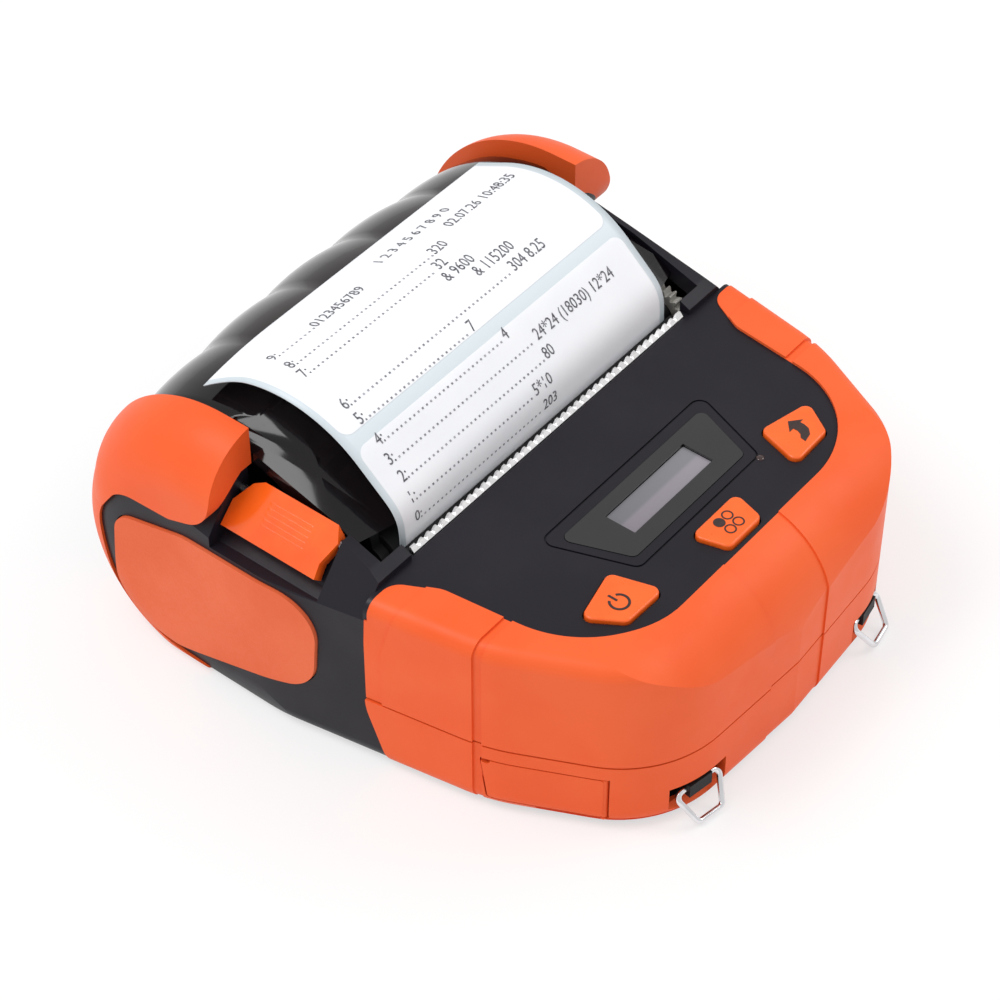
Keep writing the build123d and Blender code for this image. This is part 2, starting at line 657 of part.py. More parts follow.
save(paper_cover.part, "paper_cover")

with BuildPart() as hinge_pin:
    rod(hinge_y, hinge_z, pin_r, (-47.4, 47.4))
save(hinge_pin.part, "hinge_pin")

# Platen and its drive
mid_platen_x = paper_w / 2 + 1.0
carrier_x = (mid_platen_x + 0.6, mid_platen_x + 2.8)
with BuildPart() as platen_roller:
    rod(platen_y, platen_z, platen_r, (-mid_platen_x, mid_platen_x))
    rod(platen_y, platen_z, shaft_r, (-60, 60), mode=Mode.SUBTRACT)
save(platen_roller.part, "platen_roller")

with BuildPart() as platen_shaft:
    rod(platen_y, platen_z, shaft_r, (-carrier_x[1] - 0.3, gear_x[1] + 0.3))
save(platen_shaft.part, "platen_shaft")

with BuildPart() as platen_carrier:
    # crossbar under the cover's front edge
    with BuildSketch(Plane.YZ.offset(-carrier_x[1])) as bar:
        Polygon((2.2, 42.2), (2.2, 44.6), (9.5, 49.2), (9.5, 45.6), (6.0, 42.2), align=None)
    extrude(bar.sketch, amount=2 * carrier_x[1])
    # arms that hold the bearings
    for x in (-carrier_x[1], carrier_x[0]):
        with BuildSketch(Plane.YZ.offset(x)) as arm:
            with Locations((platen_y, platen_z)):
                Circle(shaft_r + 2.4)
            Polygon((platen_y - 2, platen_z), (platen_y - 0.6, 43.6), (9.5, 49.2), (9.5, 43.5),
                    (platen_y + 4.2, platen_z), align=None)
        extrude(arm.sketch, amount=carrier_x[1] - carrier_x[0])
    rod(platen_y, platen_z, shaft_r + 1.0, (-60, 60), mode=Mode.SUBTRACT)
save(platen_carrier.part, "platen_carrier")

with BuildPart() as platen_bearings:
    for low, high in ((-carrier_x[1], -carrier_x[0]), carrier_x):
        rod(platen_y, platen_z, shaft_r + 1.0, (low, high))
    rod(platen_y, platen_z, shaft_r + bore_gap, (-60, 60), mode=Mode.SUBTRACT)
save(platen_bearings.part, "platen_bearings")


def gear(teeth, y, z, x, hole, turn):
    """Spur gear on X with one tooth at the angle turn from +Y, in degrees."""
    pitch_r = module * teeth / 2
    half_pitch = pi * module / 4 - 0.05
    with BuildPart() as wheel:
        with BuildSketch(Plane.YZ.offset(x[0])):
            with Locations((y, z)):
                Circle(pitch_r - 1.25 * module)
                with PolarLocations(0, teeth, start_angle=turn):
                    Polygon((pitch_r - 1.6 * module, half_pitch * 1.75), (pitch_r, half_pitch),
                            (pitch_r + 0.9 * module, half_pitch * 0.42),
                            (pitch_r + 0.9 * module, -half_pitch * 0.42), (pitch_r, -half_pitch),
                            (pitch_r - 1.6 * module, -half_pitch * 1.75), align=None)
                Circle(hole, mode=Mode.SUBTRACT)
        extrude(amount=x[1] - x[0])
    return wheel.part


mesh_1 = degrees(atan2(idler_z - platen_z, idler_y - platen_y))
mesh_2 = degrees(atan2(pinion_z - idler_z, pinion_y - idler_y))
idler_turn = mesh_1 + 180 + 180 / idler_teeth
tooth_step = 360 / idler_teeth
pinion_offset = ((mesh_2 - idler_turn) % tooth_step) / tooth_step
save(gear(platen_teeth, platen_y, platen_z, gear_x, shaft_r, mesh_1), "platen_gear")
save(gear(idler_teeth, idler_y, idler_z, gear_x, 1.5 + bore_gap, idler_turn), "idler_gear")
pinion_turn = mesh_2 + 180 + (0.5 + pinion_offset) * 360 / pinion_teeth
save(gear(pinion_teeth, pinion_y, pinion_z, gear_x, 1.0, pinion_turn), "motor_pinion")

plate_x = (43.2, 44.4)
with BuildPart() as gear_plate:
    with BuildSketch(Plane.YZ.offset(plate_x[0])):
        with BuildLine():
            FilletPolyline((pinion_y - 6, floor_t), (pinion_y - 6, pinion_z + 6), (idler_y + 3, idler_z + 4.5),
                           (idler_y + 6.5, idler_z - 2), (idler_y + 6.5, floor_t), radius=1.5, close=True)
        make_face()
    extrude(amount=plate_x[1] - plate_x[0])
    rod(idler_y, idler_z, 1.5, (-60, 60), mode=Mode.SUBTRACT)
    rod(pinion_y, pinion_z, 2.5, (-60, 60), mode=Mode.SUBTRACT)
save(gear_plate.part, "gear_plate")

with BuildPart() as idler_pin:
    rod(idler_y, idler_z, 1.5, (plate_x[0], gear_x[1] + 0.2))
    rod(idler_y, idler_z, 2.2, (gear_x[1] + 0.2, gear_x[1] + 0.6))
save(idler_pin.part, "idler_pin")

with BuildPart() as drive_motor:
    rod(pinion_y, pinion_z, motor_r, (28.5, plate_x[0]))
    rod(pinion_y, pinion_z, 2.4, (plate_x[0], plate_x[1]))
    with BuildSketch(Plane.YZ.offset(28.5)) as flats:
        with Locations((pinion_y, pinion_z)):
            Rectangle(40, 2 * motor_r - 2)
    extrude(flats.sketch, amount=20, mode=Mode.INTERSECT)
    rod(pinion_y, pinion_z, 1.0 + bore_gap, (plate_x[0] - 3, 60), mode=Mode.SUBTRACT)
save(drive_motor.part, "drive_motor")

with BuildPart() as motor_shaft:
    rod(pinion_y, pinion_z, 1.0, (plate_x[0] - 3, gear_x[1] + 0.2))
save(motor_shaft.part, "motor_shaft")

# Print head in front of the platen, with the tear bar on top
head_face = platen_y - platen_r - 0.25 - paper_t
with BuildPart() as print_head:
    slab((-mid_platen_x, mid_platen_x), (head_face - 1.4, head_face), (30, 40.9))
    slab((-mid_platen_x + 3, mid_platen_x - 3), (head_face - 0.05, head_face + 0.1),
         (platen_z - 1.2, platen_z + 1.2))
save(print_head.part, "print_head")

sink_y = (tear_y[0] - 2.2, head_face - 1.4)
with BuildPart() as head_heatsink:
    slab((-mid_platen_x + 1, mid_platen_x - 1), (tear_y[1] + 0.1, sink_y[1]), (30, 40.0))
    for i in range(12):
        x = -35.75 + i * 6.5
        slab((x - 0.8, x + 0.8), (sink_y[0], tear_y[1] + 0.2), (30, 37.8))
save(head_heatsink.part, "head_heatsink")

with BuildPart() as head_springs:
    for x in (-22, 22):
        with BuildSketch(Plane.XZ.offset(-sink_y[0] + 0.1)) as coil:
            with Locations((x + 0.0, 32.6)):
                Circle(1.6)
                Circle(1.1, mode=Mode.SUBTRACT)
        extrude(coil.sketch, amount=3.0)
save(head_springs.part, "head_springs")

with BuildPart() as tear_bar:
    with BuildSketch(Plane.YZ.offset(-41)):
        Polygon((tear_y[0], 38.4), (tear_y[1], 38.4), (tear_y[1], 43.2), (tear_y[1] - 0.35, 43.2),
                (tear_y[0], 42.3), align=None)
    extrude(amount=82)
    with BuildSketch(Plane.XZ):
        with GridLocations(2, 1, 40, 1):
            with Locations((0, 43.2)):
                Polygon((-0.8, 0.1), (0.8, 0.1), (0, -0.8), align=None)
    extrude(amount=20, mode=Mode.SUBTRACT)
save(tear_bar.part, "tear_bar")

# Panel pieces
with BuildPart() as display_lens:
    add(plate(lens_plan, 1.5, panel_z - lens_t + 0.05, panel_z + 0.1))
    slab((window[0][0] + 0.1, window[0][1] - 0.1), (window[1][0] + 0.1, window[1][1] - 0.1), (30, 60),
         mode=Mode.SUBTRACT)
save(display_lens.part, "display_lens")

board_z = 34.0
with BuildPart() as display_module:
    slab((-15, 15), (-37.5, -25), (board_z + 1.6, panel_low - 0.2))
    slab((window[0][0] + 0.2, window[0][1] - 0.2), (window[1][0] + 0.2, window[1][1] - 0.2),
         (board_z + 1.6, panel_z - 0.5))
save(display_module.part, "display_module")

for name, outline in buttons.items():
    with BuildPart() as button:
        add(plate(outline, button_round, panel_low - 1.4, panel_z + button_rise))
        fillet(button.faces().sort_by(Axis.Z)[-1].edges(), 0.5)
        add(plate(outline, button_round, panel_low - 1.4, panel_low - 0.2, 0.7))
    save(button.part, name)

with BuildPart() as keypad:
    with BuildSketch(Plane.XY.offset(board_z + 1.6)):
        with BuildLine():
            FilletPolyline((-36, -37.6), (-30.5, -47.6), (-12, -49.4), (12, -49.4), (30.5, -47.6), (36, -37.6),
                           radius=1.5, close=True)
        make_face()
    extrude(amount=0.8, dir=(0, 0, 1))
    for x, y in ((-28, -41), (0, -46.4), (28, -41)):
        with Locations((x, y, board_z + 2.4)):
            Cylinder(2.2, 0.8, align=(Align.CENTER, Align.CENTER, Align.MIN))
save(keypad.part, "keypad")

with BuildPart() as main_board:
    with BuildSketch(Plane.XY.offset(board_z)):
        with BuildLine():
            Polyline((-37, -14.5), (-37, -40), (-28, -49.2), (28, -49.2), (37, -40), (37, -14.5), close=True)
        make_face()
    extrude(amount=1.6)
    slab((-12, 12), (-26, -16), (board_z - 1.6, board_z))
save(main_board.part, "main_board")

# Latch lever: a plate along the shoulder, hinged near its upper edge
face_mid = Vector(-52.7, 0, 44.8)
lever_top, lever_bottom = -5.9, 5.2     # down the slope from the middle of the face
lever_outline = [(latch_y[0], -2.6), (latch_y[0] + 1.6, lever_top), (latch_y[1] - 5.2, lever_top),
                 (latch_y[1] - 2.6, lever_top + 1.5), (latch_y[1], 0), (latch_y[1], lever_bottom),
                 (latch_y[0] + 1.2, lever_bottom), (latch_y[0] + 1.6, 2.2), (latch_y[0] + 0.8, -0.2)]
with BuildPart() as latch_lever:
    with BuildSketch(Plane(origin=face_mid, x_dir=(0, 1, 0), z_dir=(-1, 0, 1))):
        Polygon(*lever_outline, align=None)
    extrude(amount=-2.6)
    with BuildSketch(Plane.XZ.offset(-latch_y[0] - 3)) as boss:
        with Locations(latch_axis):
            Circle(1.3)
    extrude(boss.sketch, amount=-(latch_y[1] - latch_y[0] - 8))
    with BuildSketch(Plane.XZ) as pin_hole:
        with Locations(latch_axis):
            Circle(latch_pin_r + bore_gap)
    extrude(pin_hole.sketch, amount=-60, mode=Mode.SUBTRACT)
    # the edge beside the cover leans away above the pin, so that it stays clear as the lever turns
    edge_x, edge_z = -cover_gap_x - 0.2, latch_axis[1] + 1
    with BuildSketch(Plane.XZ) as beside_cover:
        Polygon((-80, 20), (edge_x, 20), (edge_x, edge_z), (edge_x - 14 * tan(radians(latch_swing)), edge_z + 14),
                (-80, edge_z + 14), align=None)
    extrude(beside_cover.sketch, amount=60, both=True, mode=Mode.INTERSECT)
save(latch_lever.part, "latch_lever")

with BuildPart() as latch_pin:
    with BuildSketch(Plane.XZ.offset(-latch_y[0] + 1.9)):
        with Locations(latch_axis):
            Circle(latch_pin_r)
    extrude(amount=-(latch_y[1] - latch_y[0] + 3.8))
save(latch_pin.part, "latch_pin")

# Ports behind the flap
def port_box(start, end, low, high):
    """Outline on the flank, along it from the recess's rear end."""
    return [(port_s + start, high), (port_s + end, high), (port_s + end, low), (port_s + start, low)]


with BuildPart() as port_board:
    add(flank_prism(port_box(-1.5, 18.5, 4.6, 5.8), (-18, -9.1), rounding=0.2))
save(port_board.part, "port_board")
with BuildPart() as usb_connector:
    add(flank_prism(port_box(1.5, 10.6, 5.8, 9.2), (-16, -9.1), rounding=0.9))
    add(flank_prism(port_box(2.0, 10.1, 6.3, 8.7), (-14.5, 0), rounding=0.6), mode=Mode.SUBTRACT)
    add(flank_prism(port_box(2.9, 9.2, 7.1, 7.9), (-14.6, -9.9), rounding=0.1))
save(usb_connector.part, "usb_connector")
with BuildPart() as power_jack:
    add(flank_prism(port_box(11.6, 16.8, 5.8, 11.4), (-18, -9.1), rounding=0.3))
    with Locations(flank.location * Location((port_s + 14.2, 8.7, -9))):
        Cylinder(1.75, 14, mode=Mode.SUBTRACT)
        with Locations((0, 0, -4)):
            Cylinder(0.5, 6)
save(power_jack.part, "power_jack")

# Strap loops and the bars that hold them
for name, side in (("left", -1), ("right", 1)):
    frame = strap_plane(side)
    with BuildPart() as strap_bar:
        with BuildSketch(frame.offset(-recess_d)):
            Rectangle(5.6, 3.0)
        extrude(amount=recess_d + 1.2)
        with BuildSketch(Plane(origin=frame.origin, x_dir=frame.z_dir, z_dir=-frame.x_dir)):
            Circle(wire_r + bore_gap)
        extrude(amount=10, both=True, mode=Mode.SUBTRACT)
    save(strap_bar.part, f"strap_bar_{name}")
    tilt = radians(strap_tilt)
    down = frame.z_dir * sin(tilt) - Vector(0, 0, cos(tilt))
    sheet = Plane(origin=frame.origin, x_dir=frame.x_dir, z_dir=frame.x_dir.cross(-down))
    with BuildPart() as strap_loop:
        with BuildLine(sheet) as loop_line:
            FilletPolyline((strap_w / 2, 0), (strap_tip / 2, -strap_drop), (-strap_tip / 2, -strap_drop),
                           (-strap_w / 2, 0), radius=1.2, close=True)
        with BuildSketch(loop_line.line ^ 0):
            Circle(wire_r)
        sweep()
    save(strap_loop.part, f"strap_loop_{name}")

# Battery, its latch and contacts
with BuildPart() as battery_pack:
    slab((-battery_w / 2, battery_w / 2), battery_y, (0.3, battery_h))
    fillet(battery_pack.edges().filter_by(Axis.Z), 2.0)
    chamfer(battery_pack.faces().sort_by(Axis.Z)[0].edges(), 0.4)
save(battery_pack.part, "battery_pack")

with BuildPart() as battery_latch:
    slab((-6, 6), (bay[1][1] + 0.3, bay[1][1] + 3.6), (0.3, 1.5))
    for i in range(3):
        slab((-4.5, 4.5), (bay[1][1] + 1.0 + i * 0.8, bay[1][1] + 1.4 + i * 0.8), (0, 0.6), mode=Mode.SUBTRACT)
save(battery_latch.part, "battery_latch")

with BuildPart() as battery_contacts:
    for x in (-6, -2, 2, 6):
        slab((x - 0.7, x + 0.7), (-22, -18), (battery_h + 0.3, battery_h + 0.6))
save(battery_contacts.part, "battery_contacts")

# Label roll on its core, held between the guides
with BuildPart() as paper_roll:
    rod(drum_y, drum_z, roll_r, (-paper_w / 2, paper_w / 2))
    rod(drum_y, drum_z, core_r, (-60, 60), mode=Mode.SUBTRACT)
save(paper_roll.part, "paper_roll")
with BuildPart() as roll_core:
    rod(drum_y, drum_z, core_r, (-paper_w / 2, paper_w / 2))
    rod(drum_y, drum_z, core_bore, (-60, 60), mode=Mode.SUBTRACT)
save(roll_core.part, "roll_core")

guide_x = (paper_w / 2 + 0.5, paper_w / 2 + 0.5 + guide_t)
with BuildPart() as roll_guide:
    rod(drum_y, drum_z, 17.0, guide_x)
    with BuildSketch(Plane.YZ.offset(guide_x[0])) as leg:
        with Locations((drum_y, (drum_z + floor_t + 1.3) / 2)):
            Rectangle(16, drum_z - floor_t - 1.3)
    extrude(leg.sketch, amount=guide_t)
    rod(drum_y, drum_z, core_bore - bore_gap, (guide_x[0] - 3.5, guide_x[0]))
    with BuildSketch(Plane.YZ.offset(guide_x[0])) as holes:
        with Locations((drum_y, drum_z)):
            with PolarLocations(11.8, 6):
                Circle(2.6)
    extrude(holes.sketch, amount=guide_t, mode=Mode.SUBTRACT)
save(roll_guide.part, "roll_guide_right")
with BuildPart() as roll_guide_left:
    mirror(roll_guide.part, about=Plane.YZ)
save(roll_guide_left.part, "roll_guide_left")

# Paper: the web from the roll under the platen, and the strip that comes out over the cover
roll_skin, platen_skin = roll_r + 0.3 + paper_t / 2, platen_r + 0.1 + paper_t / 2
gap_y, gap_z = platen_y - drum_y, platen_z - drum_z
skin_step = roll_skin - platen_skin
web_span = (hypot(gap_y, gap_z) ** 2 - skin_step ** 2) ** 0.5
lean = atan2(gap_z, gap_y) + pi / 2 - atan2(skin_step, web_span)
web_low = (drum_y + roll_skin * cos(lean), drum_z + roll_skin * sin(lean))
web_high = (platen_y + platen_skin * cos(lean), platen_z + platen_skin * sin(lean))
with BuildPart() as label_web:
    with BuildSketch(Plane.YZ.offset(-paper_w / 2)):
        with BuildLine() as web_line:
            Line(web_low, web_high)
            CenterArc((platen_y, platen_z), platen_skin, degrees(lean), 180 - degrees(lean))
        trace(line_width=paper_t)
    extrude(amount=paper_w)
save(label_web.part, "label_web")

exit_y = platen_y - platen_skin
with BuildPart() as label_strip:
    with BuildSketch(Plane.YZ.offset(-paper_w / 2)):
        with BuildLine() as strip_line:
            rise = Line((exit_y, platen_z + 0.4), (exit_y, 45.2))
            bend = JernArc(rise @ 1, (0, 1), 9, -44)
            lift = Line(bend @ 1, bend @ 1 + (bend % 1) * 8.6)
            crest = JernArc(lift @ 1, lift % 1, 25, -70)
            Line(crest @ 1, crest @ 1 + (crest % 1) * 7.5)
        trace(line_width=paper_t)
    extrude(amount=paper_w)
save(label_strip.part, "label_strip")

# Housing screws, driven up from below
with BuildPart() as housing_screws:
    for x, y in screw_places:
        with Locations((x, y, 0)):
            with Locations((0, 0, 1.4)):
                Cylinder(2.5, 1.4)
                Cylinder(1.1, 2.0, mode=Mode.SUBTRACT)
            with Locations((0, 0, 8.0)):
                Cylinder(1.2, 12.0)
save(housing_screws.part, "housing_screws")
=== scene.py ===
# %% [markdown]
# # A mobile label printer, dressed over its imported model
#
# The printer's solids, sizes and joints come from its CAD model. This lesson gives them their looks:
# moulded orange rubber, charcoal plastic, a smoked cover, bright metal and freshly printed labels.
# Everything is in metres, X to the user's right, Y from front to back and Z up from the table.

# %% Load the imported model
from math import pi, radians

import bmesh
import bpy
import numpy as np
from mathutils import Matrix, Vector


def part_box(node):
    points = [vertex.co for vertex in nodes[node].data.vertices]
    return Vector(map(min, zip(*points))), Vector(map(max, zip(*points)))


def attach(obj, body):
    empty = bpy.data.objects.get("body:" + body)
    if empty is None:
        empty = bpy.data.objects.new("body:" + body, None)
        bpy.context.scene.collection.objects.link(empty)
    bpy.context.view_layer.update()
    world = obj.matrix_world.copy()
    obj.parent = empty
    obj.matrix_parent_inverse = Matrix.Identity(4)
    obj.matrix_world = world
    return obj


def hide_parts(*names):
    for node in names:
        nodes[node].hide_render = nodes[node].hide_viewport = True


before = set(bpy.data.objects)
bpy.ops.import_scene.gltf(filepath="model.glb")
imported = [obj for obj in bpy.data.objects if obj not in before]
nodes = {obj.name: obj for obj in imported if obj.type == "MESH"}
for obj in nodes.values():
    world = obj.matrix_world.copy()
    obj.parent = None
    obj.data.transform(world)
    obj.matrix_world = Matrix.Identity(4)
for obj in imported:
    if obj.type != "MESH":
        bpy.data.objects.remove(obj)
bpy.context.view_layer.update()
MM = 0.001

# %% [markdown]
# ## Camera
#
# The photograph looks down over the printer's front left corner with a long lens. The camera's place
# was worked out from corners of the printer whose positions are known, so it is given as numbers:
# a point, and the two directions of the picture's right-hand side and of the way back to the camera.

# %% Camera
eye = Vector((-320.48, -248.35, 421.64)) * MM
picture_right = Vector((0.6220, -0.7830, 0.0)).normalized()
picture_back = Vector((-0.55609, -0.44172, 0.70402)).normalized()
picture_up = picture_back.cross(picture_right).normalized()
camera = bpy.data.objects.new("camera", bpy.data.cameras.new("camera"))
bpy.context.scene.collection.objects.link(camera)
camera.data.lens = 106.4
camera.data.sensor_width = 36.0
camera.data.clip_start, camera.data.clip_end = 0.01, 20.0
camera.matrix_world = Matrix((
    (picture_right.x, picture_up.x, picture_back.x, eye.x),
    (picture_right.y, picture_up.y, picture_back.y, eye.y),
    (picture_right.z, picture_up.z, picture_back.z, eye.z),
    (0, 0, 0, 1)))
bpy.context.scene.camera = camera
print("camera", round((eye - Vector((0, 0, 0.03))).length, 3), "m from the printer")

# %% [markdown]
# ## Writing materials as sums
#
# A procedural material is arithmetic on positions. Wiring Math nodes by hand hides that arithmetic,
# so a small class wraps a socket and lets Python's own operators add the nodes. Any other node comes
# from one method of the finish, which takes the node's type, its settings and its inputs.


# %% Wire and Finish
class Wire:
    """A number that varies over a surface. An operator on it adds one Math node."""

    def __init__(self, finish, socket):
        self.finish, self.socket = finish, socket

    def math(self, operation, *others):
        return self.finish.node("ShaderNodeMath", {"operation": operation},
                                dict(enumerate((self, *others))))

    def __add__(self, other): return self.math("ADD", other)
    def __radd__(self, other): return self.math("ADD", other)
    def __sub__(self, other): return self.math("SUBTRACT", other)
    def __mul__(self, other): return self.math("MULTIPLY", other)
    def __rsub__(self, other): return self.finish.number(other).math("SUBTRACT", self)
    def __abs__(self): return self.math("ABSOLUTE")

    def most(self, other): return self.math("MAXIMUM", other)
    def root(self): return self.math("SQRT")

    def ramp(self, low, high):
        """0 up to low, 1 from high on, smooth between them. low may be the larger."""
        return self.finish.node("ShaderNodeMapRange", {"interpolation_type": "SMOOTHSTEP"},
                                {"Value": self, "From Min": low, "From Max": high})


class Finish:
    """One material: a Principled shader and the nodes that feed it."""

    def __init__(self, name, colour, roughness, **constants):
        self.material = bpy.data.materials.new(name)
        self.material.use_nodes = True
        self.tree = self.material.node_tree
        self.tree.nodes.clear()
        self.shader = self.tree.nodes.new("ShaderNodeBsdfPrincipled")
        output = self.tree.nodes.new("ShaderNodeOutputMaterial")
        self.tree.links.new(self.shader.outputs[0], output.inputs["Surface"])
        self.set(**{"Base Color": (*colour, 1.0), "Roughness": roughness}, **constants)
        self.material.diffuse_color = (*colour, 1.0)
        self.place = None

    def set(self, **inputs):
        for name, value in inputs.items():
            self.feed(self.shader.inputs[name.replace("_", " ")], value)

    def feed(self, socket, value):
        if isinstance(value, Wire):
            self.tree.links.new(value.socket, socket)
        else:
            socket.default_value = value

    def node(self, kind, settings=None, inputs=None, output=0):
        """A node of this kind: its settings first, then its inputs, by name or number."""
        made = self.tree.nodes.new(kind)
        for name, value in (settings or {}).items():
            setattr(made, name, value)
        for name, value in (inputs or {}).items():
            self.feed(made.inputs[name], value)
        return Wire(self, made.outputs[output])

    def number(self, value):
        return self.node("ShaderNodeMath", {"operation": "ADD"}, {0: value, 1: 0.0})

    def xyz(self):
        """The three coordinates of a surface point, in millimetres."""
        if self.place is None:
            place = self.node("ShaderNodeTexCoord", output=3)
            split = self.node("ShaderNodeSeparateXYZ", inputs={0: place})
            parts = split.socket.node.outputs
            self.place = [Wire(self, part) * 1000.0 for part in parts]
            self.point = place
        return self.place

    def noise(self, size, detail=2.0):
        """Cloudy pattern with features of about this size, in millimetres, around 0.5."""
        self.xyz()
        return self.node("ShaderNodeTexNoise", inputs={"Vector": self.point, "Scale": 1000.0 / size,
                                                       "Detail": detail})

    def blend(self, factor, low, high):
        """Colour that runs from low to high as the factor runs from 0 to 1."""
        return self.node("ShaderNodeMix", {"data_type": "RGBA"},
                         {0: factor, 6: low if isinstance(low, Wire) else (*low, 1.0),
                          7: high if isinstance(high, Wire) else (*high, 1.0)}, output=2)

    def bump(self, height, depth, strength=1.0):
        """Raises the surface by this many millimetres where the height is 1."""
        self.set(Normal=self.node("ShaderNodeBump", inputs={"Height": height, "Distance": depth * MM,
                                                            "Strength": strength}))


def dress(finish, *names):
    """Puts the finish on CAD nodes."""
    for name in names:
        mesh = nodes[name].data
        mesh.materials.clear()
        mesh.materials.append(finish.material)


# %% [markdown]
# ## Orange rubber of the bumpers
#
# The bumpers are moulded from a dull rubber that takes the mould's fine spark-eroded grain. Colour and
# gloss hardly vary, so a few noises are enough: broad clouds that shift the colour a little, a finer
# one that breaks up the shine where hands have rubbed it, paler patches near the table that are
# painted light from the floor, and a grain of a third of a millimetre as bump.


# %% Rubber
def rubber(name, colour, pale, shine):
    finish = Finish(name, colour, shine)
    clouds = finish.noise(26, 3).ramp(0.35, 0.7)
    height = finish.xyz()[2]
    # Painted light: within 9 mm of the table the rubber turns paler in patches, standing in for light bounced
    # up from the floor.
    floor_light_and_dust = height.ramp(9.0, 0.0) * finish.noise(3.5, 4).ramp(0.45, 0.75)
    finish.set(Base_Color=finish.blend(clouds * 0.7 + floor_light_and_dust * 0.25, colour, pale),
               Roughness=finish.noise(14, 4).ramp(0.3, 0.75) * 0.12 + (shine - 0.05),
               Specular_IOR_Level=0.26)
    finish.bump(finish.noise(0.34, 2), 0.03, 0.55)
    return finish


orange = rubber("orange_rubber", (0.82, 0.102, 0.018), (0.86, 0.13, 0.032), 0.48)
rubber_nodes = ("front_bumper_upper", "front_bumper_lower", "rear_bumper_left", "rear_bumper_right",
                "port_flap")
dress(orange, *rubber_nodes)
print("rubber on", len(rubber_nodes), "pieces")

# %% [markdown]
# ## Grip pads
#
# The oval pads on the sides are softer and a shade pinker than the bumpers, with a fine leathery grain:
# the cells of a Voronoi pattern, whose distance to the nearest cell centre makes each grain a low dome.

# %% Grip pads
grip = Finish("grip_pad", (0.76, 0.13, 0.045), 0.6, Specular_IOR_Level=0.3)
grip.xyz()
grains = grip.node("ShaderNodeTexVoronoi", {"feature": "F1"}, {"Vector": grip.point, "Scale": 1700.0})
grip.set(Base_Color=grip.blend(grip.noise(22, 3).ramp(0.3, 0.75), (0.74, 0.118, 0.036), (0.80, 0.155, 0.06)),
         Roughness=0.56 + grains * 0.12)
grip.bump(grains * -1.0 + grip.noise(2.5, 3) * 0.5, 0.06, 0.6)
dress(grip, "side_pad_left", "side_pad_right")
print("grip pads dressed")

# %% [markdown]
# ## Keys and latch lever
#
# The keys and the lever are hard, glossier plastic of a deeper orange. The lever carries a few fine
# ridges across its middle, where a fingertip pulls. They are bump lines in the lever's own plane,
# which leans 45 degrees: one coordinate runs along Y, the other down the slope.

# %% Keys and lever
key_plastic = Finish("key_plastic", (0.90, 0.125, 0.012), 0.3)
key_plastic.set(Base_Color=key_plastic.blend(key_plastic.noise(6, 3).ramp(0.3, 0.7) * 0.5,
                                             (0.90, 0.12, 0.010), (0.94, 0.15, 0.02)),
                Roughness=key_plastic.noise(5, 4).ramp(0.3, 0.8) * 0.14 + 0.26)
key_plastic.bump(key_plastic.noise(0.6, 2), 0.01, 0.3)
dress(key_plastic, "power_button", "menu_button", "feed_button")

lever_plastic = Finish("lever_plastic", (0.93, 0.14, 0.012), 0.2, Coat_Weight=0.35, Coat_Roughness=0.08)
x, y, z = lever_plastic.xyz()
down = (x + z + 7.9) * (-0.7071)
window = abs(y - 13.6).ramp(5.2, 4.6) * abs(down + 0.4).ramp(3.0, 2.6)
ridges = abs((down * 0.9).math("FRACT") - 0.5).ramp(0.32, 0.2) * window
lever_plastic.set(Base_Color=lever_plastic.blend(lever_plastic.noise(9, 3).ramp(0.3, 0.75),
                                                 (0.88, 0.095, 0.006), (0.94, 0.13, 0.010)),
                  Roughness=lever_plastic.noise(4, 3).ramp(0.4, 0.9) * 0.15 + 0.14)
lever_plastic.bump(ridges, 0.1, 0.5)
dress(lever_plastic, "latch_lever")

# %% [markdown]
# ## Charcoal case
#
# The case is blue-black plastic with an eroded grain, slightly worn smooth. Inside, the frame parts are
# plain black mouldings, which keep the flow marks of the melt: long, faint clouds.


# %% Case and inner mouldings
def moulding(name, colour, shine, grain=0.3, depth=0.025):
    finish = Finish(name, colour, shine)
    pale = tuple(min(1.0, c * 1.4 + 0.002) for c in colour)
    rub = finish.noise(17, 4).ramp(0.35, 0.75)
    finish.set(Base_Color=finish.blend(rub * 0.6, colour, pale),
               Roughness=rub * -0.1 + (shine + 0.05), Specular_IOR_Level=0.26)
    finish.bump(finish.noise(grain, 2), depth, 0.5)
    return finish


case_plastic = moulding("charcoal_case", (0.0085, 0.007, 0.0115), 0.42)
dress(case_plastic, "lower_housing", "upper_housing")
black_plastic = moulding("black_moulding", (0.008, 0.008, 0.009), 0.48, 0.5)
dress(black_plastic, "platen_carrier", "print_head", "strap_bar_left", "strap_bar_right", "battery_latch",
      "roll_guide_left", "roll_guide_right", "power_jack")
shell = moulding("battery_shell", (0.022, 0.022, 0.024), 0.5, 0.6)
x, y, z = shell.xyz()
ribs = abs((x * 0.5).math("FRACT") - 0.5).ramp(0.16, 0.26) * abs(y + 35).ramp(9.0, 8.6)
shell.bump(ribs + shell.noise(0.6, 2) * 0.05, 0.2, 0.6)
dress(shell, "battery_pack")

# %% [markdown]
# ## Smoked cover
#
# The cover is tinted gloss plastic, so dark that it reads as black with sharp reflections and a brown
# tinge where light gets into it. A clear coat over a near-black base gives the double reflection. A
# very low, wide noise in the bump is the slight waviness of every moulded gloss part, and a faint
# speckle of dust keeps the gloss from looking computed.

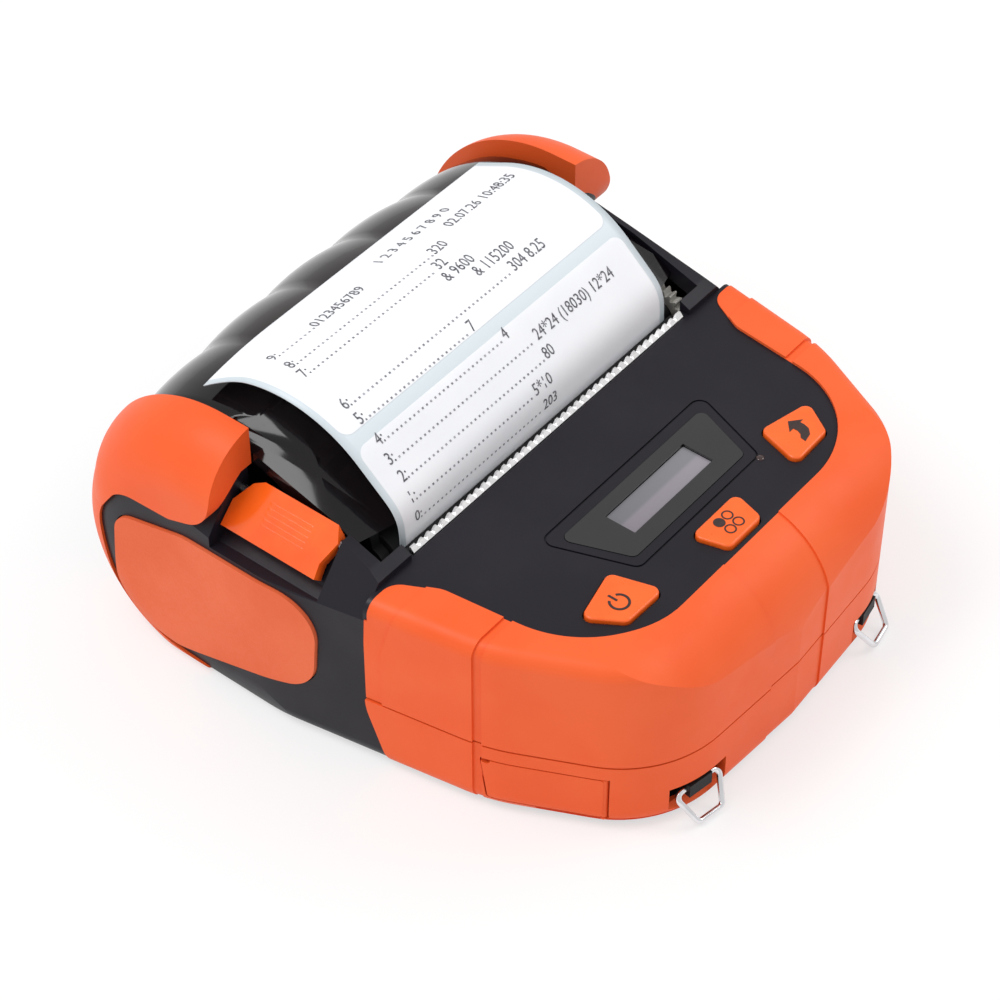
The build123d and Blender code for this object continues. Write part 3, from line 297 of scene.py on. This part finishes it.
# %% Smoked cover, lens and display
smoked = Finish("smoked_cover", (0.006, 0.004, 0.005), 0.1, Coat_Weight=0.12, Coat_Roughness=0.05,
                Specular_IOR_Level=0.3)
x, y, z = smoked.xyz()
# Painted light: the middle of the cover's width is browner, standing in for light shining through the tint;
# the cloudy half of this mask is random tone.
painted_glow_through = (x * x * (1 / 1600)).ramp(1.2, 0.4) * 0.5 + smoked.noise(30, 2).ramp(0.3, 0.8) * 0.5
floor_light_and_dust = smoked.noise(0.8, 2).ramp(0.70, 0.76) * 0.12
smoked.set(Base_Color=smoked.blend(painted_glow_through, (0.003, 0.002, 0.003), (0.012, 0.007, 0.007)),
           Roughness=smoked.noise(12, 4).ramp(0.35, 0.8) * 0.09 + floor_light_and_dust + 0.09)
smoked.bump(smoked.noise(16, 1), 0.05, 0.35)
dress(smoked, "paper_cover")

lens = Finish("display_lens", (0.010, 0.010, 0.011), 0.14, Coat_Weight=0.3)
lens.set(Roughness=lens.noise(7, 4).ramp(0.4, 0.8) * 0.12 + 0.12,
         Base_Color=lens.blend(lens.noise(9, 2), (0.009, 0.009, 0.010), (0.016, 0.015, 0.016)))
lens.bump(lens.noise(11, 1), 0.02, 0.2)
dress(lens, "display_lens")

# The display is off: a grey film with the faint grid of its cells, its rear half darkened by painted shade
# and a painted sheen that lightens it towards the right.
display = Finish("display_film", (0.20, 0.18, 0.205), 0.22, Coat_Weight=0.4)
x, y, z = display.xyz()
# Painted shade over the rear half, and a painted sheen that grows towards the right.
painted_shade_rear = y.ramp(-31.6, -30.6)
cells = [abs((line * 2.5).math("FRACT") - 0.5).ramp(0.40, 0.47) for line in (x, y)]
grid = cells[0].most(cells[1])
painted_sheen_sweep = (x + 16) * (1 / 30)
tone = display.blend(painted_sheen_sweep, (0.19, 0.165, 0.195), (0.27, 0.245, 0.28))
shade = display.blend(painted_sheen_sweep, (0.125, 0.125, 0.14), (0.20, 0.20, 0.215))
both = display.blend(painted_shade_rear, tone, shade)
display.set(Base_Color=display.blend(grid * 0.12, both, (0.08, 0.08, 0.09)))
dress(display, "display_module")

# %% [markdown]
# ## Metals
#
# Bright wire for the strap loops, a brushed steel strip for the tear bar, the plain turned or pressed
# steel of shafts, pins and plates, and a little aluminium and brass inside. Brushing is noise stretched
# along one axis, so its coordinates are scaled before they reach the texture.


# %% Metals
def metal(name, colour, shine, stretch=(1, 1, 1), size=0.4, depth=0.01):
    finish = Finish(name, colour, shine, Metallic=1.0)
    finish.xyz()
    place = finish.node("ShaderNodeVectorMath", {"operation": "MULTIPLY"}, {0: finish.point, 1: stretch})
    lines = finish.node("ShaderNodeTexNoise", inputs={"Vector": place, "Scale": 1000.0 / size, "Detail": 3.0})
    finish.set(Roughness=lines.ramp(0.3, 0.7) * 0.14 + shine,
               Base_Color=finish.blend(finish.noise(5, 3).ramp(0.3, 0.8), colour,
                                       tuple(c * 0.86 for c in colour)))
    finish.bump(lines, depth, 0.4)
    return finish


bright_wire = metal("bright_wire", (0.83, 0.83, 0.85), 0.06, size=1.5, depth=0.004)
dress(bright_wire, "strap_loop_left", "strap_loop_right")
tear_steel = metal("tear_steel", (0.90, 0.89, 0.89), 0.22, (0.05, 1, 1), 0.5, 0.012)
dress(tear_steel, "tear_bar")
turned = metal("turned_steel", (0.62, 0.62, 0.63), 0.22, (0.1, 1, 1), 0.4)
dress(turned, "platen_shaft", "hinge_pin", "idler_pin", "motor_shaft", "latch_pin", "head_springs",
      "housing_screws")
pressed = metal("pressed_steel", (0.58, 0.59, 0.61), 0.3, (1, 0.2, 1), 0.7)
dress(pressed, "gear_plate", "drive_motor", "usb_connector")
aluminium = metal("cast_aluminium", (0.66, 0.67, 0.68), 0.35, size=0.8)
dress(aluminium, "head_heatsink")
brass = metal("plated_brass", (0.86, 0.62, 0.30), 0.2, size=0.5)
dress(brass, "motor_pinion", "battery_contacts")

# %% [markdown]
# ## Inner materials
#
# Gears and bearings are natural white plastic, the platen is a ground rubber sleeve, the roll's core is
# wound card and its ends show the turns of the paper. Those turns are rings: the distance from the
# roll's axis, taken over the thickness of a few layers, and its fraction as bump and shade.

# %% Gears, platen, boards and roll
gear_plastic = moulding("gear_plastic", (0.68, 0.66, 0.61), 0.38, 0.6, 0.01)
dress(gear_plastic, "platen_gear", "idler_gear", "platen_bearings")
sleeve = moulding("platen_rubber", (0.018, 0.018, 0.019), 0.55, 0.25, 0.03)
dress(sleeve, "platen_roller")
keypad_rubber = moulding("keypad_rubber", (0.40, 0.40, 0.41), 0.6, 0.5, 0.02)
dress(keypad_rubber, "keypad")

board = Finish("circuit_board", (0.02, 0.13, 0.06), 0.35)
x, y, z = board.xyz()
tracks = abs((x * 0.55).math("FRACT") - 0.5).ramp(0.14, 0.10) * board.noise(9, 1).ramp(0.48, 0.52)
crossing = abs((y * 0.55).math("FRACT") - 0.5).ramp(0.14, 0.10) * board.noise(7, 1).ramp(0.52, 0.48)
copper = tracks.most(crossing)
board.set(Base_Color=board.blend(copper, (0.012, 0.10, 0.045), (0.05, 0.24, 0.10)),
          Roughness=0.42 - copper * 0.12)
board.bump(copper, 0.04, 0.6)
dress(board, "main_board", "port_board")

core_y, core_z = 31.0, 27.0
roll_paper = Finish("roll_paper", (0.80, 0.81, 0.83), 0.62)
x, y, z = roll_paper.xyz()
radius = ((y - core_y) * (y - core_y) + (z - core_z) * (z - core_z)).root()
turns = ((radius + roll_paper.noise(20, 1) * 0.4) * 2.2).math("FRACT")
on_end = radius.ramp(22.9, 22.7)
roll_paper.set(Base_Color=roll_paper.blend(turns.ramp(0.25, 0.0) * on_end, (0.80, 0.81, 0.84),
                                           (0.58, 0.60, 0.64)))
roll_paper.bump(turns * on_end + roll_paper.noise(1.2, 3) * 0.2, 0.06, 0.5)
dress(roll_paper, "paper_roll", "label_web")

card = Finish("wound_card", (0.42, 0.30, 0.18), 0.8)
x, y, z = card.xyz()
around = card.node("ShaderNodeMath", {"operation": "ARCTAN2"}, {0: z - core_z, 1: y - core_y})
seam = abs((x * 0.045 + around * (0.5 / pi)).math("FRACT") - 0.5).ramp(0.03, 0.0)
card.set(Base_Color=card.blend(card.noise(0.9, 4).ramp(0.3, 0.8) * 0.6 + seam * 0.4, (0.46, 0.33, 0.20),
                               (0.28, 0.19, 0.11)))
card.bump(card.noise(0.5, 3) - seam, 0.05, 0.6)
dress(card, "roll_core")
print("finishes:", len([m for m in bpy.data.materials if m.use_nodes]))

# %% [markdown]
# ## Building pieces from arrays
#
# New pieces are grids. A function of two parameters gives an array of points, rows by columns, and the
# same short helper turns any such array into faces. A grid can close on itself across its columns, as
# a ring or a tube does.


# %% Grid helper
def grid_faces(rows, columns, close_columns=False):
    """Quads between neighbouring rows and columns of a grid of points."""
    r = np.arange(rows - 1)[:, None]
    c = np.arange(columns if close_columns else columns - 1)[None, :]
    up, right = r + 1, (c + 1) % columns
    corners = np.stack(np.broadcast_arrays(r * columns + c, r * columns + right, up * columns + right,
                                           up * columns + c), -1)
    return corners.reshape(-1, 4)


def piece(name, points, faces, body, finish):
    """A mesh object from points in millimetres, riding a body."""
    mesh = bpy.data.meshes.new(name)
    mesh.from_pydata(np.asarray(points).reshape(-1, 3) * MM, [], [list(map(int, f)) for f in faces])
    mesh.update()
    made = bpy.data.objects.new(name, mesh)
    bpy.context.scene.collection.objects.link(made)
    mesh.materials.append(finish.material)
    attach(made, body)
    print(name, len(mesh.polygons), "faces")
    return made


# %% [markdown]
# ## Shallower flutes
#
# The flutes of the cover are eased on a copy of the solid's mesh. The copy is merged and its long edges
# are halved until they can follow a curve; then each point of a flute slides along its ray from the
# roll's axis, so that the crests stay and the flutes lose half their depth.


# %% The cover's copy
barrel_r, crown_height, crown_half = 33.7, 3.0, 47.7
crest_step, floor_r, flute_half = 0.3, 31.8, 46.25

cover_mesh = nodes["paper_cover"].data.copy()
cover_mesh.name = "fluted_cover"
work = bmesh.new()
work.from_mesh(cover_mesh)
bmesh.ops.remove_doubles(work, verts=work.verts, dist=1e-6)
for _ in range(4):
    long_edges = [e for e in work.edges
                  if e.calc_length() > 30 * MM and max(v.co.z for v in e.verts) > 30 * MM]
    bmesh.ops.subdivide_edges(work, edges=long_edges, cuts=1)
    bmesh.ops.triangulate(work, faces=work.faces)
bmesh.ops.recalc_face_normals(work, faces=work.faces)
work.to_mesh(cover_mesh)
work.free()

points = np.empty(len(cover_mesh.vertices) * 3)
cover_mesh.vertices.foreach_get("co", points)
points = points.reshape(-1, 3) / MM
x, y, z = points[:, 0], points[:, 1] - core_y, points[:, 2] - core_z
reach, turn = np.hypot(y, z), np.degrees(np.arctan2(z, y))
crown = crown_height * (x / crown_half) ** 2
crest = barrel_r - crown - crest_step
fluted = (turn > -26) & (turn < 97.5) & (abs(x) <= flute_half) & (reach > floor_r - crown) & (reach < crest)
scale = np.where(fluted, (crest + reach) / 2 / reach, 1.0)
points[:, 1], points[:, 2] = core_y + y * scale, core_z + z * scale
cover_mesh.vertices.foreach_set("co", (points * MM).ravel())
cover_mesh.update()
cover_mesh.polygons.foreach_set("use_smooth", np.ones(len(cover_mesh.polygons), dtype=bool))
cover_mesh.set_sharp_from_angle(angle=radians(24))
cover_mesh.materials.clear()
cover_mesh.materials.append(smoked.material)
cover = bpy.data.objects.new("fluted_cover", cover_mesh)
bpy.context.scene.collection.objects.link(cover)
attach(cover, "cover")
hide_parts("paper_cover")
print("fluted_cover", len(cover_mesh.polygons), "faces, points moved:", int(fluted.sum()))

# %% [markdown]
# ## The printed label
#
# The label paper leaves the slot upright, bends back over the cover, and its end settles on the
# flutes. A sheet of paper bends but doesn't stretch, so its shape is given by its heading: the angle
# of the paper over the distance run from the slot. Summing the cosine and sine of that angle gives the
# profile, and its length comes out right by itself. The paper also leans a little to the left as it
# goes, and its far left corner droops.

# %% The sheet's shape
sheet_length, half_width = 61.8, 40.0
slot_y, slot_z = -3.275, 36.9
run = np.linspace(0.0, sheet_length, 1237)
heading = np.radians(np.interp(run, [0, 8.3, 15.2, 23.8, 54.3, sheet_length], [90, 90, 46, 46, -24, -24]))
heading = np.convolve(np.pad(heading, 30, "edge"), np.ones(61) / 61, "valid")
profile_y = slot_y + np.concatenate([[0], np.cumsum(np.cos(heading[:-1]) * np.diff(run))])
profile_z = slot_z + np.concatenate([[0], np.cumsum(np.sin(heading[:-1]) * np.diff(run))])


def on_sheet(across, along, height):
    """Point of the sheet: across its width, along its run, and above its printed face."""
    turn = np.interp(along, run, heading)
    lean = -0.5 - 3.4 * along / sheet_length
    corner = np.clip((along - 50) / 12, 0, 1) ** 2 * np.clip((-across - 22) / 18, 0, 1) ** 2
    x = across + lean
    y = np.interp(along, run, profile_y) - height * np.sin(turn)
    z = np.interp(along, run, profile_z) + height * np.cos(turn) - 2.0 * corner
    return np.stack([x, y, z], -1)


along, across = np.meshgrid(np.linspace(0, sheet_length, 150), np.linspace(-half_width, half_width, 41),
                            indexing="ij")
front, back = on_sheet(across, along, 0.12), on_sheet(across, along, -0.10)
rows, columns = along.shape
count = rows * columns
front_faces = grid_faces(rows, columns)
border = np.concatenate([np.arange(columns), np.arange(1, rows) * columns + columns - 1,
                         np.arange(columns - 2, -1, -1) + (rows - 1) * columns,
                         np.arange(rows - 2, 0, -1) * columns])
following = np.roll(border, -1)
rim = np.stack([border, border + count, following + count, following], -1)
sheet_faces = np.concatenate([front_faces, front_faces[:, ::-1] + count, rim])

# %% [markdown]
# Its finish works in the sheet's own measures, which a UV map carries: across and along, in
# decimetres. Labels lie on a bluish liner with a gap of 2.7 mm and a margin at each side, and their
# corners are rounded. How deep a point lies inside a label, from the gap and from the margin, gives
# the rounding as in a rounded rectangle: outside a corner's circle the liner shows.

# %% Label finish and sheet
label_paper = Finish("label_paper", (0.86, 0.87, 0.90), 0.5)
flat = label_paper.node("ShaderNodeUVMap", {"uv_map": "flat"})
parts = label_paper.node("ShaderNodeSeparateXYZ", inputs={0: flat}).socket.node.outputs
decimetre = 100.0
u, v = Wire(label_paper, parts[0]) * decimetre - half_width, Wire(label_paper, parts[1]) * decimetre
gap_at, gap_half, margin, corner = 27.3, 1.35, 38.6, 2.4
from_gap = (corner - (abs(v - gap_at) - gap_half)).most(0.0)
from_side = (corner - (margin - abs(u))).most(0.0)
label_mask = ((from_gap * from_gap + from_side * from_side).root()).ramp(corner + 0.12, corner - 0.12)
clouds = label_paper.noise(18, 3).ramp(0.3, 0.75)
label_paper.set(Base_Color=label_paper.blend(label_mask, (0.60, 0.67, 0.71),
                                             label_paper.blend(clouds, (0.83, 0.84, 0.875),
                                                               (0.875, 0.88, 0.91))),
                Roughness=0.36 + label_mask * 0.16)
label_paper.bump(label_mask + label_paper.noise(0.5, 3) * 0.06, 0.09, 0.7)
label = piece("printed_label", np.concatenate([front.reshape(-1, 3), back.reshape(-1, 3)]), sheet_faces,
              "cover", label_paper)
uv = label.data.uv_layers.new(name="flat")
corners = np.empty(len(label.data.loops), dtype=np.int32)
label.data.loops.foreach_get("vertex_index", corners)
flat_uv = np.stack([across.ravel() + half_width, along.ravel()], -1) / decimetre
uv.data.foreach_set("uv", flat_uv[corners % count].ravel().astype(np.float32))
label.data.polygons.foreach_set("use_smooth", np.ones(len(label.data.polygons), dtype=bool))
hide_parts("label_strip")

# %% [markdown]
# ## Print
#
# A thermal printer's self-test is rows of a number, a dotted leader and a value. The words are text
# objects, turned into meshes while they still lie flat and narrowed; the leader is small squares at an
# even pitch between them. All are then laid on the sheet by the function that shaped it: their X runs
# across the paper and their Y along it.


# %% Printed rows
def words_flat(words, size, narrow):
    """Points in millimetres and faces of a line of text, from x = 0."""
    curve = bpy.data.curves.new("row", "FONT")
    curve.body, curve.size, curve.resolution_u, curve.extrude = words, size, 2, 0.02
    row_object = bpy.data.objects.new("row", curve)
    bpy.context.scene.collection.objects.link(row_object)
    bpy.context.view_layer.update()
    mesh = bpy.data.meshes.new_from_object(row_object.evaluated_get(bpy.context.evaluated_depsgraph_get()))
    points = np.empty(len(mesh.vertices) * 3)
    mesh.vertices.foreach_get("co", points)
    points = points.reshape(-1, 3)
    points[:, 0] = (points[:, 0] - points[:, 0].min()) * narrow
    faces = [list(face.vertices) for face in mesh.polygons]
    bpy.data.objects.remove(row_object)
    bpy.data.meshes.remove(mesh)
    bpy.data.curves.remove(curve)
    return points, faces


# Each row: its base line along the sheet, its left and right end, and what it says at each end.
print_rows = [
    (7.7, -35.5, 6.0, "0:", "203"), (11.9, -35.0, 6.0, "1:", "5*10"), (16.0, -34.5, 10.0, "2:", "80"),
    (19.9, -34.5, 32.0, "3:", "24*24 (18030) 12*24"), (23.9, -34.0, 3.5, "4:", "4"),
    (28.9, -34.0, -1.0, "5:", "7"), (32.6, -34.0, 24.0, "6:", "304 8.25"),
    (36.2, 6.0, 19.0, "", "& 115200"), (39.2, 0.5, 11.0, "", "& 9600"),
    (42.4, -33.5, 7.0, "7:", "32"), (45.8, -33.0, 11.5, "8:", "320"),
    (49.0, 4.0, 36.0, "", "02.07.26 10:48:35"), (50.4, -32.5, -7.0, "9:", "0123456789"),
    (53.8, -24.0, 22.0, "", "1 2 3 4 5 6 7 8 9 0")]
ink = Finish("print_ink", (0.035, 0.035, 0.042), 0.6)
ink.set(Base_Color=ink.blend(ink.noise(0.5, 2).ramp(0.35, 0.7), (0.06, 0.06, 0.07), (0.22, 0.22, 0.24)))
faint_ink = Finish("faint_ink", (0.2, 0.2, 0.22), 0.6)
faint_ink.set(Base_Color=faint_ink.blend(faint_ink.noise(0.7, 2).ramp(0.35, 0.7), (0.18, 0.18, 0.20),
                                         (0.40, 0.40, 0.43)))
letter_points, letter_faces, start, dot_rows = [], [], 0, []
for base, left, right, head, tail in print_rows:
    low, high = left, right
    for words, at_left in ((head, True), (tail, False)):
        if not words:
            continue
        points, faces = words_flat(words, 3.5, 0.8)
        width = points[:, 0].max()
        begin = left if at_left else right - width
        low, high = (begin + width, high) if at_left else (low, begin)
        letter_points.append(on_sheet(begin + points[:, 0], base + points[:, 1], 0.17 + points[:, 2]))
        letter_faces += [[i + start for i in face] for face in faces]
        start += len(points)
    if head:
        across_dots = np.arange(low + 0.9, high - 0.6, 1.2)
        dot_rows.append(np.column_stack([across_dots, np.full(len(across_dots), base + 0.25)]))
piece("printed_rows", np.concatenate(letter_points), letter_faces, "cover", ink)
dots = np.concatenate(dot_rows)
square = np.array([(x, y, z) for z in (0.14, 0.18)
                   for x, y in ((-0.2, -0.2), (0.2, -0.2), (0.2, 0.2), (-0.2, 0.2))])
block = dots[:, None, :] + square[None, :, :2]
dot_points = on_sheet(block[..., 0], block[..., 1], np.broadcast_to(square[:, 2], block.shape[:2]))
square_faces = np.array([(0, 3, 2, 1), (4, 5, 6, 7), (0, 1, 5, 4), (1, 2, 6, 5), (2, 3, 7, 6), (3, 0, 4, 7)])
dot_faces = (square_faces[None] + 8 * np.arange(len(dots))[:, None, None]).reshape(-1, 4)
piece("printed_leaders", dot_points, dot_faces, "cover", faint_ink)

# %% [markdown]
# ## Signs on the keys
#
# The signs are printed on the keys: an open ring with a tick, three rings and a dot, and a bent arrow.
# Each is a film a twentieth of a millimetre thick, cut to its outline, so that it moves with its key.

# %% Key signs
key_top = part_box("power_button")[1][2] / MM


def film(outline, base, thick=0.05):
    """Flat closed prism over an outline of (x, y) points, and its faces."""
    outline = np.asarray(outline, dtype=float)
    n = len(outline)
    points = np.concatenate([np.column_stack([outline, np.full(n, base)]),
                             np.column_stack([outline, np.full(n, base + thick)])])
    i = np.arange(n)
    sides = np.stack([i, (i + 1) % n, (i + 1) % n + n, i + n], -1).tolist()
    return points, [list(range(n))[::-1], list(range(n, 2 * n))] + sides


def arc_band(centre, inner, outer, start, end, steps=28):
    """Outline of part of a ring: the outer arc, then the inner one backwards, in degrees."""
    turn = np.radians(np.linspace(start, end, steps))[:, None]
    circle = np.concatenate([np.cos(turn), np.sin(turn)], 1)
    return np.concatenate([centre + circle * outer, (centre + circle * inner)[::-1]])


def sign(name, outlines, body):
    points, faces, start = [], [], 0
    for outline in outlines:
        p, f = film(outline, key_top + 0.01)
        points.append(p)
        faces += [[i + start for i in face] for face in f]
        start += len(p)
    return piece(name, np.concatenate(points), faces, body, sign_ink)


sign_ink = Finish("sign_ink", (0.02, 0.012, 0.012), 0.4)
sign_ink.set(Base_Color=sign_ink.blend(sign_ink.noise(0.7, 2), (0.012, 0.008, 0.008), (0.05, 0.02, 0.015)))
power_at = np.array([-28.2, -43.0])
tick = power_at + np.array([(-0.24, 0.5), (0.24, 0.5), (0.24, 2.5), (-0.24, 2.5)])
sign("power_sign", [arc_band(power_at, 1.55, 2.05, 122, 418), tick], "power_key")
menu_at, step = np.array([0.0, -46.6]), 1.25
ring_places = [menu_at + np.array(p) * step for p in ((1, 1), (-1, -1), (1, -1))]
round_turn = np.linspace(0, 2 * pi, 32, endpoint=False)
solid = menu_at + np.array([-step, step]) + 1.15 * np.column_stack([np.cos(round_turn), np.sin(round_turn)])
halves = [arc_band(p, 0.85, 1.15, a, a + 180) for p in ring_places for a in (0, 180)]
sign("menu_sign", [solid] + halves, "menu_key")
feed_at = np.array([28.0, -42.9])
arrow = [(0.5, 3.0), (-1.7, 1.1), (-0.5, 1.1), (-0.5, 0.1), (-0.9, -0.8), (-1.7, -1.4), (-1.9, -2.6),
         (0.2, -2.2), (1.4, -1.1), (1.75, 0.2), (1.75, 1.1), (2.7, 1.1)]
sign("feed_sign", [feed_at + np.array(arrow)[::-1]], "feed_key")

# %% [markdown]
# ## Status light
#
# Between the display and the feed key sits a small dark light. It is a shallow dome: a quarter circle
# turned about its upright axis, closed at its top by a small flat face and below by a wider one.

# %% Status light
panel_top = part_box("display_lens")[1][2] / MM - 0.1
light_at, light_r, light_steps, ring_steps = np.array([18.0, -41.0]), 0.75, 7, 28
lift = np.linspace(0, pi / 2 - 0.08, light_steps)[:, None]
spin = np.linspace(0, 2 * pi, ring_steps, endpoint=False)[None, :]
ring_x, ring_y = light_r * np.cos(spin), light_r * np.sin(spin)
dome = np.stack([light_at[0] + np.cos(lift) * ring_x, light_at[1] + np.cos(lift) * ring_y,
                 panel_top + 0.28 * np.sin(lift) + 0 * spin], -1)
foot = np.stack([light_at[0] + ring_x, light_at[1] + ring_y, np.full_like(spin, panel_top - 0.4)], -1)
dome = np.concatenate([foot, dome])
light_faces = grid_faces(light_steps + 1, ring_steps, close_columns=True).tolist()
top_ring = range(light_steps * ring_steps, (light_steps + 1) * ring_steps)
light_faces += [list(range(ring_steps))[::-1], list(top_ring)]
light_lens = Finish("status_lens", (0.02, 0.006, 0.006), 0.12, Coat_Weight=0.5)
light_lens.set(Base_Color=light_lens.blend(light_lens.noise(0.6, 2), (0.012, 0.005, 0.005),
                                           (0.05, 0.012, 0.01)))
status = piece("status_light", dome, light_faces, "case", light_lens)
status.data.polygons.foreach_set("use_smooth", np.ones(len(status.data.polygons), dtype=bool))

# %% [markdown]
# ## Stage and light
#
# The printer stands on a white floor. Light comes from the whole white world, which keeps colours near
# what is written, with one large soft lamp from above the left for the shadow and one from the right
# for the edge of the cover. The floor is brightened for the camera and for reflections only, so its
# shadow stays.

# %% Stage and light
bpy.ops.mesh.primitive_plane_add(size=6.0, location=(0, 0, 0))
floor = bpy.context.object
floor.name = "floor"
ground = Finish("floor", (0.90, 0.90, 0.90), 0.9)
rays = ground.node("ShaderNodeLightPath")
ray = rays.socket.node.outputs
seen = Wire(ground, ray["Is Camera Ray"]).most(Wire(ground, ray["Is Glossy Ray"])).most(
    Wire(ground, ray["Is Transmission Ray"]))
glow = ground.tree.nodes.new("ShaderNodeEmission")
mixed = ground.tree.nodes.new("ShaderNodeMixShader")
ground.feed(mixed.inputs[0], seen * 0.6)
ground.tree.links.new(ground.shader.outputs[0], mixed.inputs[1])
ground.tree.links.new(glow.outputs[0], mixed.inputs[2])
surface = next(n for n in ground.tree.nodes if n.type == "OUTPUT_MATERIAL").inputs["Surface"]
ground.tree.links.new(mixed.outputs[0], surface)
floor.data.materials.append(ground.material)

world = bpy.data.worlds.new("studio")
bpy.context.scene.world = world
world.use_nodes = True
sky = world.node_tree
background = sky.nodes["Background"]
background.inputs["Color"].default_value = (1, 1, 1, 1)
white = sky.nodes.new("ShaderNodeBackground")
white.inputs["Color"].default_value = (1, 1, 1, 1)
background.inputs["Strength"].default_value = 0.76
path = sky.nodes.new("ShaderNodeLightPath")
choice = sky.nodes.new("ShaderNodeMixShader")
sky.links.new(path.outputs["Is Camera Ray"], choice.inputs[0])
sky.links.new(background.outputs[0], choice.inputs[1])
sky.links.new(white.outputs[0], choice.inputs[2])
sky.links.new(choice.outputs[0], sky.nodes["World Output"].inputs["Surface"])
bpy.context.scene.view_settings.view_transform = "Standard"


def lamp(name, place, aim, size, watts):
    """Square area lamp at a place in metres, turned to its aim."""
    light = bpy.data.lights.new(name, "AREA")
    light.shape, light.size, light.energy = "SQUARE", size, watts
    made = bpy.data.objects.new(name, light)
    bpy.context.scene.collection.objects.link(made)
    made.location = place
    made.rotation_euler = (Vector(place) - Vector(aim)).to_track_quat("Z", "Y").to_euler()


lamp("key_light", (-0.35, 0.25, 0.75), (0, 0, 0.03), 0.4, 3.2)
lamp("edge_light", (0.5, -0.35, 0.55), (0, 0, 0.03), 0.35, 1.4)
